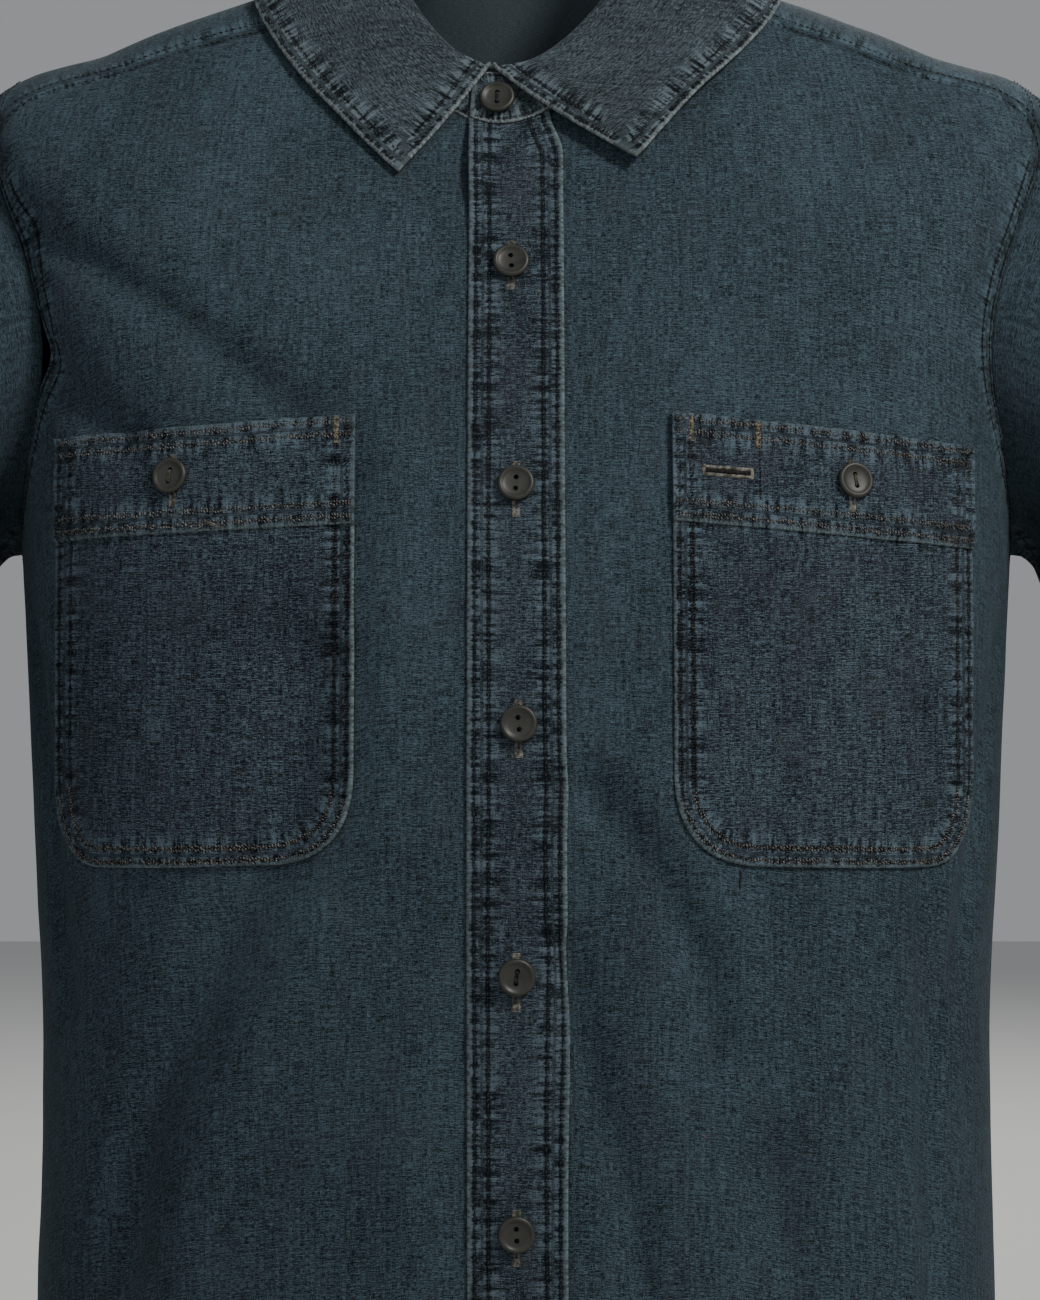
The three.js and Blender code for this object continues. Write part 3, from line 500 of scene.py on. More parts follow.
# Materials
class Graph:
    def __init__(self, name):
        self.material = bpy.data.materials.new(name)
        self.material.use_nodes = True
        self.tree = self.material.node_tree
        self.shader = self.tree.nodes["Principled BSDF"]

    def add(self, kind, inputs=(), **settings):
        node = self.tree.nodes.new(kind)
        for key, value in settings.items():
            setattr(node, key, value)
        for key, value in dict(inputs).items():
            self.put(node.inputs[key], value)
        return node

    def put(self, socket, value):
        if isinstance(value, bpy.types.NodeSocket):
            self.tree.links.new(value, socket)
        else:
            socket.default_value = value

    def set(self, name, value):
        self.put(self.shader.inputs[name], value)

    def math(self, operation, a, b=0.0, clamp=False):
        node = self.add("ShaderNodeMath", {0: a, 1: b}, operation=operation, use_clamp=clamp)
        return node.outputs[0]

    def total(self, *values):
        result = values[0]
        for value in values[1:]:
            result = self.math("ADD", result, value)
        return result

    def centred(self, value, weight):
        return self.math("MULTIPLY", self.math("SUBTRACT", value, 0.5), weight)

    # The sum of several noises, each centred on 0 and weighted
    def blend(self, *weighted):
        return self.total(*(self.centred(value, weight) for value, weight in weighted))

    def ramp(self, value, start, end):
        inputs = {"Value": value, "From Min": start, "From Max": end}
        node = self.add("ShaderNodeMapRange", inputs, interpolation_type="SMOOTHSTEP")
        return node.outputs[0]

    def mix(self, share, a, b):
        node = self.add("ShaderNodeMix", {"Factor": share}, data_type="RGBA")
        for socket, value in ((node.inputs[6], a), (node.inputs[7], b)):
            self.put(socket, value if isinstance(value, bpy.types.NodeSocket) else (*value, 1))
        return node.outputs[2]

    def uv(self, name):
        return self.add("ShaderNodeUVMap", uv_map=name).outputs[0]

    def number(self, name):
        return self.add("ShaderNodeAttribute", attribute_name=name).outputs["Fac"]

    def grain(self, vector, across, along, detail=2.0, rough=0.5, shift=0.0):
        inputs = {0: vector, 1: (across, along, 1), 2: (shift, shift, 0)}
        moved = self.add("ShaderNodeVectorMath", inputs, operation="MULTIPLY_ADD").outputs[0]
        inputs = {"Vector": moved, "Scale": 1.0, "Detail": detail, "Roughness": rough}
        return self.add("ShaderNodeTexNoise", inputs, noise_dimensions="2D").outputs[0]

    # Noise in the space of the object
    def solid_noise(self, scale, **inputs):
        place = self.add("ShaderNodeTexCoord").outputs["Object"]
        return self.add("ShaderNodeTexNoise", {"Vector": place, "Scale": scale, **inputs}).outputs[0]

    def bump(self, height, distance):
        return self.add("ShaderNodeBump", {"Height": height, "Distance": distance}).outputs[0]


# Washed denim. tone is how light it is on the whole, contrast how lively its yarns are, skew how
# much rarer its light yarns are than its dark ones, rusty how brown its dark clouds are. Along the
# seams it has light and dark rungs and puckers, and its free edges are worn.
def denim(name, dark, light, worn, tone, contrast, skew, rusty, rung_weight, pucker_weight, wear_width):
    g = Graph(name)
    flat = g.uv("flat")
    seam = g.uv("seam")
    near = g.number("near_seam")
    relief = g.number("relief")
    edge = g.number("edge")
    inside = g.number("inside")
    warp = g.grain(flat, 2.3, 0.30, 2.0, 0.6)
    weft = g.grain(flat, 0.50, 3.4, 2.0, 0.6, 31.0)
    grit = g.grain(flat, 1.7, 3.7, 1.0, 0.5, 57.0)
    pick = g.grain(flat, 0.09, 2.1, 2.0, 0.6, 11.0)
    streak = g.grain(flat, 0.62, 0.05, 3.0, 0.6, 83.0)
    cloud = g.grain(flat, 0.022, 0.010, 3.0, 0.5, 5.0)
    rungs = g.grain(seam, 0.68, 0.10, 1.0, 0.5, 21.0)
    swell = g.grain(seam, 0.12, 0.16, 2.0, 0.6, 47.0)
    puckers = g.grain(seam, 0.27, 0.05, 1.0, 0.5, 91.0)
    beads = g.grain(seam, 0.75, 0.12, 1.0, 0.5, 63.0)
    yarns = g.blend((warp, 0.75 * contrast), (weft, 2.3 * contrast), (grit, 1.5 * contrast),
                    (pick, 1.3 * contrast))
    broad = g.blend((streak, 0.65 * contrast), (cloud, 0.35))
    steps = g.math("ADD", g.blend((rungs, rung_weight), (puckers, pucker_weight), (swell, 0.5)), 0.17)
    on_row = g.math("MULTIPLY", g.ramp(near, 0.91, 0.99), -0.46)
    ladder = g.math("ADD", g.math("MULTIPLY", steps, near), on_row)
    raised = g.math("MULTIPLY", relief, 0.42)
    value = g.math("ADD", g.total(yarns, broad, ladder, raised), tone, clamp=True)
    value = g.math("POWER", value, skew)
    colour = g.mix(value, dark, light)
    rust = g.ramp(g.grain(flat, 0.05, 0.025, 4.0, 0.6, 71.0), 0.45, 0.75)
    colour = g.mix(g.math("MULTIPLY", rust, rusty), colour, (0.040, 0.036, 0.046))
    reverse = g.math("ADD", g.centred(weft, 1.2), 0.5, clamp=True)
    colour = g.mix(inside, colour, g.mix(reverse, (0.05, 0.07, 0.085), (0.15, 0.19, 0.21)))
    ragged = g.total(edge, g.centred(beads, 3.2), g.centred(grit, 1.4), g.centred(swell, 1.0))
    wear = g.math("MULTIPLY", g.ramp(ragged, wear_width, 0.25), 0.9)
    dull = tuple(0.55 * c for c in worn)
    bright = tuple(1.45 * c for c in worn)
    colour = g.mix(wear, colour, g.mix(g.ramp(beads, 0.36, 0.64), dull, bright))
    g.set("Base Color", colour)
    g.set("Roughness", g.math("ADD", g.centred(grit, 0.2), 0.86))
    g.set("Specular IOR Level", 0.14)
    g.set("Sheen Weight", 0.06)
    g.set("Sheen Roughness", 0.45)
    g.set("Sheen Tint", (0.60, 0.70, 0.75, 1))
    weave = g.blend((warp, 0.30), (weft, 0.42), (grit, 0.32))
    height = g.math("ADD", weave, g.math("MULTIPLY", ladder, 0.5))
    g.set("Normal", g.bump(height, 0.35 * MM))
    return g.material, name


# Sewing thread; change is how quickly its colour changes along it
def thread(name, dark, light, change=520.0):
    g = Graph(name)
    fibres = g.solid_noise(2200.0, Detail=2.0, Roughness=0.6)
    slow = g.solid_noise(change, Detail=2.0)
    value = g.math("ADD", g.blend((fibres, 1.2), (slow, 4.2)), 0.38, clamp=True)
    g.set("Base Color", g.mix(value, dark, light))
    g.set("Roughness", 0.75)
    g.set("Specular IOR Level", 0.25)
    g.set("Normal", g.bump(fibres, 0.08 * MM))
    return g.material


def button_plastic(name):
    g = Graph(name)
    swirl = g.solid_noise(120.0, Detail=4.0, Distortion=0.8)
    speck = g.solid_noise(1500.0, Detail=2.0)
    value = g.math("ADD", g.blend((swirl, 1.2), (speck, 0.8)), 0.5, clamp=True)
    g.set("Base Color", g.mix(value, (0.013, 0.0135, 0.010), (0.037, 0.036, 0.028)))
    g.set("Roughness", g.math("ADD", g.centred(swirl, 0.3), 0.48))
    g.set("Specular IOR Level", 0.50)
    g.set("Coat Weight", 0.06)
    g.set("Coat Roughness", 0.4)
    g.set("Normal", g.bump(speck, 0.03 * MM))
    return g.material


WORN = (0.125, 0.160, 0.165)
COLLAR_WORN = (0.200, 0.228, 0.232)

# Denims: dark, light and worn colour, then tone, contrast, skew, rusty, rungs, puckers and wear
BODY_DENIM = denim("body_denim", (0.003, 0.006, 0.008), (0.076, 0.118, 0.147), WORN,
                   0.53, 0.96, 1.45, 0.15, 2.0, 1.6, 1.3)
BAND_DENIM = denim("band_denim", (0.003, 0.006, 0.009), (0.095, 0.132, 0.160), WORN,
                   0.43, 1.02, 1.6, 0.2, 1.9, 1.6, 2.0)
POCKET_DENIM = denim("pocket_denim", (0.003, 0.005, 0.008), (0.095, 0.136, 0.168), WORN,
                     0.42, 1.15, 1.6, 0.25, 2.0, 2.6, 1.3)
COLLAR_DENIM = denim("collar_denim", (0.003, 0.006, 0.008), (0.124, 0.162, 0.184), COLLAR_WORN,
                     0.46, 0.85, 1.6, 0.15, 3.0, 2.8, 1.5)

# Threads, lint and buttons
DARK_THREAD = thread("dark_thread", (0.004, 0.005, 0.007), (0.052, 0.054, 0.056))
TAN_THREAD = thread("tan_thread", (0.075, 0.070, 0.056), (0.280, 0.268, 0.235))
BROWN_THREAD = thread("brown_thread", (0.009, 0.009, 0.009), (0.240, 0.234, 0.220), 1100.0)
TACK_THREAD = thread("tack_thread", (0.045, 0.036, 0.022), (0.335, 0.300, 0.230), 900.0)
SLIT_THREAD = thread("slit_thread", (0.003, 0.003, 0.003), (0.040, 0.036, 0.030), 1400.0)
OLIVE_THREAD = thread("olive_thread", (0.026, 0.025, 0.015), (0.145, 0.140, 0.092))
LINT = thread("lint", (0.080, 0.040, 0.036), (0.300, 0.170, 0.150))
BUTTON = button_plastic("button_plastic")


# Meshes
def mesh_object(name, points, faces, material, maps=(), numbers=()):
    mesh = bpy.data.meshes.new(name)
    mesh.from_pydata((points * MM).tolist(), [], faces.tolist())
    mesh.materials.append(material)
    mesh.shade_smooth()
    corner = np.zeros(len(mesh.loops), int)
    mesh.loops.foreach_get("vertex_index", corner)
    for key, values in dict(maps).items():
        layer = mesh.uv_layers.new(name=key)
        layer.data.foreach_set("uv", values[corner].astype(np.float32).ravel())
    for key, values in dict(numbers).items():
        layer = mesh.attributes.new(key, "FLOAT", "POINT")
        layer.data.foreach_set("value", values.astype(np.float32).ravel())
    made = bpy.data.objects.new(name, mesh)
    bpy.context.scene.collection.objects.link(made)
    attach(made, "root")
    return made


def grid_quads(index):
    corners = [index[:-1, :-1], index[:-1, 1:], index[1:, 1:], index[1:, :-1]]
    return np.stack([c.ravel() for c in corners], axis=1)


# A closed wall between the outer and inner copies of a net of quads
def closed_wall(outer, inner, quads):
    count = len(outer)
    starts = quads.ravel()
    ends = np.roll(quads, -1, axis=1).ravel()
    open_edge = ~np.isin(starts * count + ends, ends * count + starts)
    a = starts[open_edge]
    b = ends[open_edge]
    rim = np.stack([a, a + count, b + count, b], axis=1)
    faces = np.vstack([quads, quads[:, ::-1] + count, rim])
    points = np.vstack([outer, inner])
    p, q, r = (points[faces[:, k]] for k in range(3))
    s = points[faces[:, 3]]
    volume = (np.einsum("ij,ij->i", p, np.cross(q, r)) + np.einsum("ij,ij->i", p, np.cross(r, s))).sum()
    return points, faces if volume > 0 else faces[:, ::-1]


# What the seams and free edges do to a panel: a lift for each point and the marks its cloth wears
def sewn(points, rows, edges, pucker, seed, roll):
    shape = points.shape[:-1]
    lift = np.zeros(shape)
    near = np.zeros(shape)
    best = np.full(shape, 1e6)
    seam = np.zeros((*shape, 2))
    for k, line in enumerate(rows):
        d, s = beside_line(points, line)
        rungs = noise(s / 1.6, d / 7 + 3.7 * k, seed) + 0.4 * noise(s / 3.4, d / 9, seed + 5)
        lift += pucker * 0.36 * rungs * bell(d, 3.6) * (1 - 0.7 * bell(d, 0.8))
        lift -= 0.22 * bell(d, 0.75)
        near = np.maximum(near, bell(d, 4.2))
        closer = d < best
        best = np.where(closer, d, best)
        seam[closer] = np.stack([s[closer] + 500 * k, d[closer]], axis=1)
    edge = np.full(shape, 40.0)
    for k, line in enumerate(edges):
        e, s = beside_line(points, line)
        edge = np.minimum(edge, e)
        lift += roll * bell(e - 1.2, 1.2) * (1 + 1.4 * pucker * noise(s / 2.6, 0.5, seed + 9 + k))
    relief = lift / 0.35
    lift -= 0.75 * (1 - np.sqrt(1 - (1 - np.clip(edge / 1.1, 0, 1)) ** 2))
    marks = {"near_seam": near, "relief": np.clip(relief, -1, 1), "edge": edge}
    return lift, seam, marks


# A piece of cloth from its surface points and normals
def cloth(name, points, normals, flat, material_and_slot, seed, lift=0.0, wall=WALL, side=1, rows=(),
          edges=(), pucker=1.0, index=None, roll=0.22):
    material, slot = material_and_slot
    lift = np.asarray(lift)[..., None]
    raised = points + normals * (lift + wall)
    base = points + normals * lift
    shift, seam, marks = sewn(raised, rows, edges, pucker, seed, roll)
    outer = (raised + normals * shift[..., None]).reshape(-1, 3)
    inner = base.reshape(-1, 3)
    if index is None:
        index = np.arange(outer.shape[0]).reshape(points.shape[:-1])
    everything, faces = closed_wall(outer, inner, grid_quads(index))
    everything[:, 0] *= side
    if side < 0:
        faces = faces[:, ::-1]
    twice = lambda values: np.concatenate([values, values])
    maps = {"flat": twice(flat.reshape(-1, 2)), "seam": twice(seam.reshape(-1, 2))}
    numbers = {key: twice(values.ravel()) for key, values in marks.items()}
    numbers["inside"] = np.concatenate([np.zeros(len(outer)), np.ones(len(outer))])
    made = mesh_object(name, everything, faces, material, maps, numbers)
    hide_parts(name)
    return made


# Stitches: short arcs of thread, each dipping into the cloth at both ends
ASKEW = 0.55


class Stitching:
    def __init__(self):
        self.points = []
        self.faces = []
        self.count = 0

    # Tubes of thread along many short lines at once; centre and up are stitches by rings by XYZ
    def lay(self, centre, up, size, sides, side=1):
        up = unit(up)
        tangent = unit(centre[:, -1:] - centre[:, :1]) + 0 * centre
        across = unit(np.cross(tangent, up))
        turn = np.arange(sides) * 2 * np.pi / sides
        ring = across[:, :, None] * np.cos(turn)[:, None] + up[:, :, None] * np.sin(turn)[:, None]
        points = (centre[:, :, None] + ring * size[None, :, None, None]).reshape(-1, 3)
        points[:, 0] *= side
        rings = len(size)
        base = np.arange(len(centre))[:, None, None] * rings * sides
        r = np.arange(rings - 1)[:, None] * sides
        c = np.arange(sides)
        n = (c + 1) % sides
        quads = np.stack([base + r + c, base + r + n, base + r + sides + n, base + r + sides + c], axis=-1)
        quads = quads.reshape(-1, 4)[:, ::side]
        self.points.append(points)
        self.faces.append(quads + self.count)
        self.count += len(points)

    # A row of stitches along a line
    def row(self, line, normals, pitch=2.2, length=1.55, radius=0.27, sides=4, side=1, sink=0.06, phase=0.0,
            wander=0.12, askew=ASKEW, aside=0.0):
        run = run_of(line)
        centres = np.arange(0.5 + phase % 1, run[-1] / pitch, 1.0) * pitch
        centres = centres + 0.12 * noise(centres * 0.4, 0.3, 4)
        centres = centres[centres < run[-1] - length / 2]
        share = np.array([-0.5, -0.26, 0.26, 0.5])
        at = centres[:, None] + share * length
        place = at_run(at, run, line)
        up = unit(at_run(at, run, normals))
        beside = unit(np.cross(place[:, -1:] - place[:, :1], up))
        slow = noise(centres / 2.9, 0.7 + aside, 8)
        quick = noise(centres / 0.9, 3.3 + 5 * aside, 9)
        drift = aside + wander * slow + wander * quick
        skew = share[None, :] * askew + drift[:, None]
        place = place + beside * skew[:, :, None]
        rise = np.array([-0.30, 0.10, 0.10, -0.30]) + radius * 0.5 - sink
        size = np.array([0.4, 1.0, 1.0, 0.4]) * radius
        self.lay(place + up * rise[None, :, None], up, size, sides, side)

    # Close short stitches side by side across a line, as in a bartack or a buttonhole
    def bars(self, line, normals, half, pitch=0.5, radius=0.2, side=1, lift=0.1, seed=0):
        run = run_of(line)
        at = np.arange(pitch / 2, run[-1], pitch)
        step = at_run(at, run, np.hstack([line, normals]))
        up = unit(step[:, 3:])
        tangent = np.tile(unit(line[-1] - line[0]), (len(at), 1))
        across = unit(np.cross(tangent, up))
        reach = half * (1 + 0.25 * noise(at * 1.7, 1.7, seed))
        skew = 0.22 * noise(at * 1.3, 4.2, seed)
        span = across * reach[:, None] + tangent * skew[:, None]
        share = np.array([-1.0, -0.6, 0.6, 1.0])
        rise = np.array([-0.25, 0.06, 0.06, -0.25]) + lift
        place = step[:, None, :3] + span[:, None] * share[:, None] + up[:, None] * rise[:, None]
        self.lay(place, np.repeat(up[:, None], 4, axis=1), np.array([0.5, 1, 1, 0.5]) * radius, 4, side)

    # One longer strand
    def strand(self, line, up, radius, sides=6):
        size = np.full(len(line), radius)
        self.lay(line[None], np.tile(up, (1, len(line), 1)), size, sides)

    def build(self, name, material):
        return mesh_object(name, np.vstack(self.points), np.vstack(self.faces), material)


# Flat coordinates of a body panel: round the body on the level, and up its slope
def grain_map(points, start, forward):
    level = np.linalg.norm(np.diff(points[..., :2], axis=1), axis=-1)
    across = start[:, None] + np.concatenate([np.zeros((len(points), 1)), np.cumsum(level, axis=1)], axis=1)
    return np.stack([across, points[..., 2] + 0.5 * forward * points[..., 1]], axis=-1)


# The points and normals of a line on a surface, lifted off it
def stitched_line(surface, u, v, lift):
    point, normal = surface.frame(u, v)
    return point + normal * (lift if np.isscalar(lift) else lift[:, None]), normal


body_stitches = Stitching()
band_stitches = Stitching()
pocket_stitches = Stitching()
collar_stitches = Stitching()
tan_stitches = Stitching()
FAR = {"pitch": 2.7, "length": 1.9, "radius": 0.3, "sides": 3}
FINE = {"pitch": 2.15, "length": 1.5, "radius": 0.25}
STAND_STITCH = {"pitch": 2.2, "length": 1.5, "radius": 0.25}


# A row of stitches on a surface; its line is returned for the puckers
def sew(stitches, surface, u, v, lift, **style):
    line, normals = stitched_line(surface, u, v, lift)
    stitches.row(line, normals, **style)
    return line


# Two rows in dark thread beside an edge of the body or a sleeve
def double_rows(surface, edge, toward, gaps, side=1):
    lines = [surface.inset(*edge, gap, toward) for gap in gaps]
    return [sew(body_stitches, surface, *line, WALL, side=side, phase=0.37 * k, **FAR)
            for k, line in enumerate(lines)]


# How far inside the edges the pairs of rows are sewn
HEM_ROWS = (1.6, 8.0)
ARM_ROWS = (1.6, 7.5)
SEAM_ROWS = (1.6, 7.0)
SLIT_ROWS = (2.0, 10.0)

# Front panels
PANEL_STEP = 3.3
PANEL_COLUMNS = 90
PANELS_APART = 700.0
front_t = np.concatenate([
    even_sections(rad(40), 0, UNDERARM, PANEL_STEP)[:-1],
    even_sections(rad(60), UNDERARM, YOKE_CORNER, PANEL_STEP)[:-1],
    even_sections(rad(40), YOKE_CORNER, NECK, PANEL_STEP),
])


# The outer edge of a front: the side seam, the armhole, then the yoke's seam
def front_edge(t):
    below = rad(90) - seam_angle(rad(90), t)
    yoke = yoke_front(t) - seam_angle(yoke_front(t), t)
    return np.where(t <= UNDERARM, below, np.where(t < YOKE_CORNER, armhole_front(t), yoke))


def front_panel(name, side):
    overlap = PANEL_OVERLAP if side > 0 else PANEL_OVERLAP + SEAM + LAYER
    start = angle_at(band_right(front_t) - overlap, front_t)
    end = side * front_edge(front_t)
    share = np.linspace(0, 1, PANEL_COLUMNS)
    a = start[:, None] + (end - start)[:, None] * share
    t = front_t[:, None] + 0 * share
    points, normals = on_body.frame(a, t)
    flat = grain_map(points, side * points[:, 0, 0], 1) + PANELS_APART * (1 + side)
    hem_a = np.linspace(start[0], end[0], 120)
    hem = (hem_a, np.zeros_like(hem_a))
    arm_t = np.linspace(UNDERARM + 0.02, YOKE_CORNER, 60)
    arm = (side * armhole_front(arm_t), arm_t)
    middle = (side * rad(40), 3.0)
    rows = double_rows(on_body, hem, middle, HEM_ROWS)
    rows += double_rows(on_body, arm, middle, ARM_ROWS)
    edges = [stitched_line(on_body, *hem, WALL)[0]]
    made = cloth(name, points, normals, flat, BODY_DENIM, 1 + side, rows=rows, edges=edges)


front_panel("front_right", -1)
front_panel("front_left", 1)

# Back panel
BACK_STEP = 4.6
BACK_COLUMNS = 120
back_t = np.concatenate([
    even_sections(rad(150), 0, UNDERARM, BACK_STEP)[:-1],
    even_sections(rad(120), UNDERARM, YOKE_CORNER, BACK_STEP),
])
share = np.linspace(0, 1, BACK_COLUMNS)
edge = np.where(back_t <= UNDERARM, rad(90) + seam_angle(rad(90), back_t), armhole_back(back_t))
a = edge[:, None] + (2 * np.pi - 2 * edge)[:, None] * share
top = back_seam(share)[None] - seam_section(a, back_seam(share)[None] + 0 * a)
t = back_t[:, None] * top / YOKE_CORNER
points, normals = on_body.frame(a, t)
flat = grain_map(points, -ARC * (np.pi - a[:, 0]) * 1.2, -1)
hem_a = np.linspace(rad(90), rad(270), 160)
hem = (hem_a, np.zeros_like(hem_a))
middle = (np.pi, 3.0)
side_t = np.linspace(0.02, UNDERARM, 120)
arm_t = np.linspace(UNDERARM + 0.02, YOKE_CORNER, 60)
rows = double_rows(on_body, hem, middle, HEM_ROWS)
for side in (-1, 1):
    rows += double_rows(on_body, (mirrored(rad(90) + 0 * side_t, side), side_t), middle, SEAM_ROWS)
    rows += double_rows(on_body, (mirrored(armhole_back(arm_t), side), arm_t), middle, ARM_ROWS)
edges = [stitched_line(on_body, *hem, WALL)[0]]
made = cloth("back", points, normals, flat, BODY_DENIM, 5, rows=rows, edges=edges)


# Yoke, from the back seam over the shoulders to the front seams and up to the neck
def yoke_columns():
    near = YOKE_CORNER + (SHOULDER - YOKE_CORNER) * (1 - (1 - np.linspace(0, 1, 15)) ** 2)
    share = (near - YOKE_CORNER) / (SHOULDER - YOKE_CORNER)
    front_low = np.stack([armhole_front(near), near], axis=1)
    front_high = rad(lerp(YOKE_NECK_ANGLE, YOKE_NECK_RIDGE, share))
    front_low[0, 0] += seam_angle(armhole_front(YOKE_CORNER), YOKE_CORNER)
    front_high[0] += seam_angle(rad(YOKE_NECK_ANGLE), NECK)
    back_low = np.stack([armhole_back(near), near], axis=1)[::-1]
    back_high = rad(lerp(YOKE_NECK_BACK, YOKE_NECK_RIDGE, share))[::-1]
    across = np.linspace(0, 1, 110)
    corner = armhole_back(YOKE_CORNER)
    seam_a = lerp(corner, 2 * np.pi - corner, across)
    seam_t = back_seam(across)
    centre_low = np.stack([seam_a, seam_t + seam_section(seam_a, seam_t)], axis=1)
    centre_high = rad(lerp(YOKE_NECK_BACK, 360 - YOKE_NECK_BACK, across))
    other_side = lambda low: np.stack([2 * np.pi - low[:, 0], low[:, 1]], axis=1)[::-1]
    low = np.vstack([front_low, back_low[1:-1], centre_low, other_side(back_low)[1:-1],
                     other_side(front_low)])
    high = np.concatenate([front_high, back_high[1:-1], centre_high, 2 * np.pi - back_high[::-1][1:-1],
                           2 * np.pi - front_high[::-1]])
    return low, high


low, high = yoke_columns()
share = np.linspace(0, 1, 42)[:, None]
a = low[None, :, 0] + (high - low[:, 0])[None] * share
t = low[None, :, 1] + (NECK - low[:, 1])[None] * share
points, normals = on_body.frame(a, t)
x, y, z = np.moveaxis(points, -1, 0)
flat = np.stack([x, y - 0.6 * z * np.tanh(y / 20)], axis=-1)
seam_share = np.linspace(0.01, 0.99, 120)
corner = armhole_back(YOKE_CORNER)
seam = (lerp(corner, 2 * np.pi - corner, seam_share), back_seam(seam_share))
line_t = np.linspace(YOKE_CORNER + 0.02, NECK - 0.05, 60)
arm_t = lerp(YOKE_CORNER, SHOULDER - 0.01, np.linspace(0, 1, 20) ** 0.5)
rows = double_rows(on_body, seam, (np.pi, 8.0), SEAM_ROWS)
for side in (-1, 1):
    middle = (mirrored(rad(90), side), 8.0)
    rows += double_rows(on_body, (mirrored(yoke_front(line_t), side), line_t), middle, SEAM_ROWS)
    for arm in (armhole_front, armhole_back):
        rows += double_rows(on_body, (mirrored(arm(arm_t), side), arm_t), middle, ARM_ROWS)
made = cloth("yoke", points, normals, flat, BODY_DENIM, 7, rows=rows)

# The front band, over the meeting edges of both fronts
BAND_STEP = 1.25
BAND_ROWS = (2.85, 8.3)
BAND_GAPE = 3.2
GAPE_HEIGHT = -92.0
GAPE_REACH = 17.0
GAPE_WIDTH = 14.0


# How far the band's edge on the wearer's right stands off near its top
def band_gape(x, z):
    return BAND_GAPE * bell(z - GAPE_HEIGHT, GAPE_REACH) * smooth(BAND_LEFT + GAPE_WIDTH, BAND_LEFT, x)


# A line down or across the band, for sew and stitched_line
def band_line(x, t):
    a = angle_at(x, t)
    return a, t, ON_PANEL + WALL + band_gape(x, on_body.place(a, t)[..., 2])


band_t = even_sections(0, 0, NECK, BAND_STEP)
share = close_ended(BAND_RIGHT - BAND_LEFT, 1.15)
x = BAND_LEFT + (band_right(band_t) - BAND_LEFT)[:, None] * share
t = band_t[:, None] + 0 * x
a = angle_at(x, t)
points, normals = on_body.frame(a, t)
gape = band_gape(x, points[..., 2])
flat = np.stack([x + 0.3 * noise(t * 9, x / 30, 3), points[..., 2]], axis=-1)
line_t = even_sections(0, 0.01, NECK - 0.01, 3.0)
rows = []
edges = []
for edge_x, way in ((BAND_LEFT + 0 * line_t, 1), (band_right(line_t), -1)):
    for k, gap in enumerate(BAND_ROWS):
        line_x = edge_x + way * (gap + 0.12 * noise(line_t * 5, 0.5, 3 * k + way))
        rows.append(sew(band_stitches, on_body, *band_line(line_x, line_t), phase=0.4 * k, **FINE))
    edges.append(stitched_line(on_body, *band_line(edge_x, line_t))[0])
hem_x = np.linspace(BAND_LEFT, BAND_RIGHT, 20)
edges.append(stitched_line(on_body, *band_line(hem_x, 0 * hem_x))[0])
made = cloth("front_band", points, normals, flat, BAND_DENIM, 11, lift=ON_PANEL + gape, rows=rows,
             edges=edges, roll=0.3)


# The depth of a pocket's folded top band at its inner and outer ends, and how far it stands off
POCKET_BAND_IN = 42.8
POCKET_BAND_OUT = 40.8
POCKET_BAND_RISE = 1.05

# Its rows of stitches, each sewn twice, one a little aside of the other
POCKET_ROWS = (2.2, 7.3)
FOLD_ROWS = (3.0, 8.1)
ASIDE = (-0.5, 0.45)
DOUBLED = {"pitch": 1.15, "length": 0.85, "radius": 0.27, "sink": 0.0, "wander": 0.5, "askew": 1.1}


def doubled_row(stitches, line, normals, phase):
    for aside in ASIDE:
        stitches.row(line, normals, phase=phase + aside + 1, aside=aside, **DOUBLED)


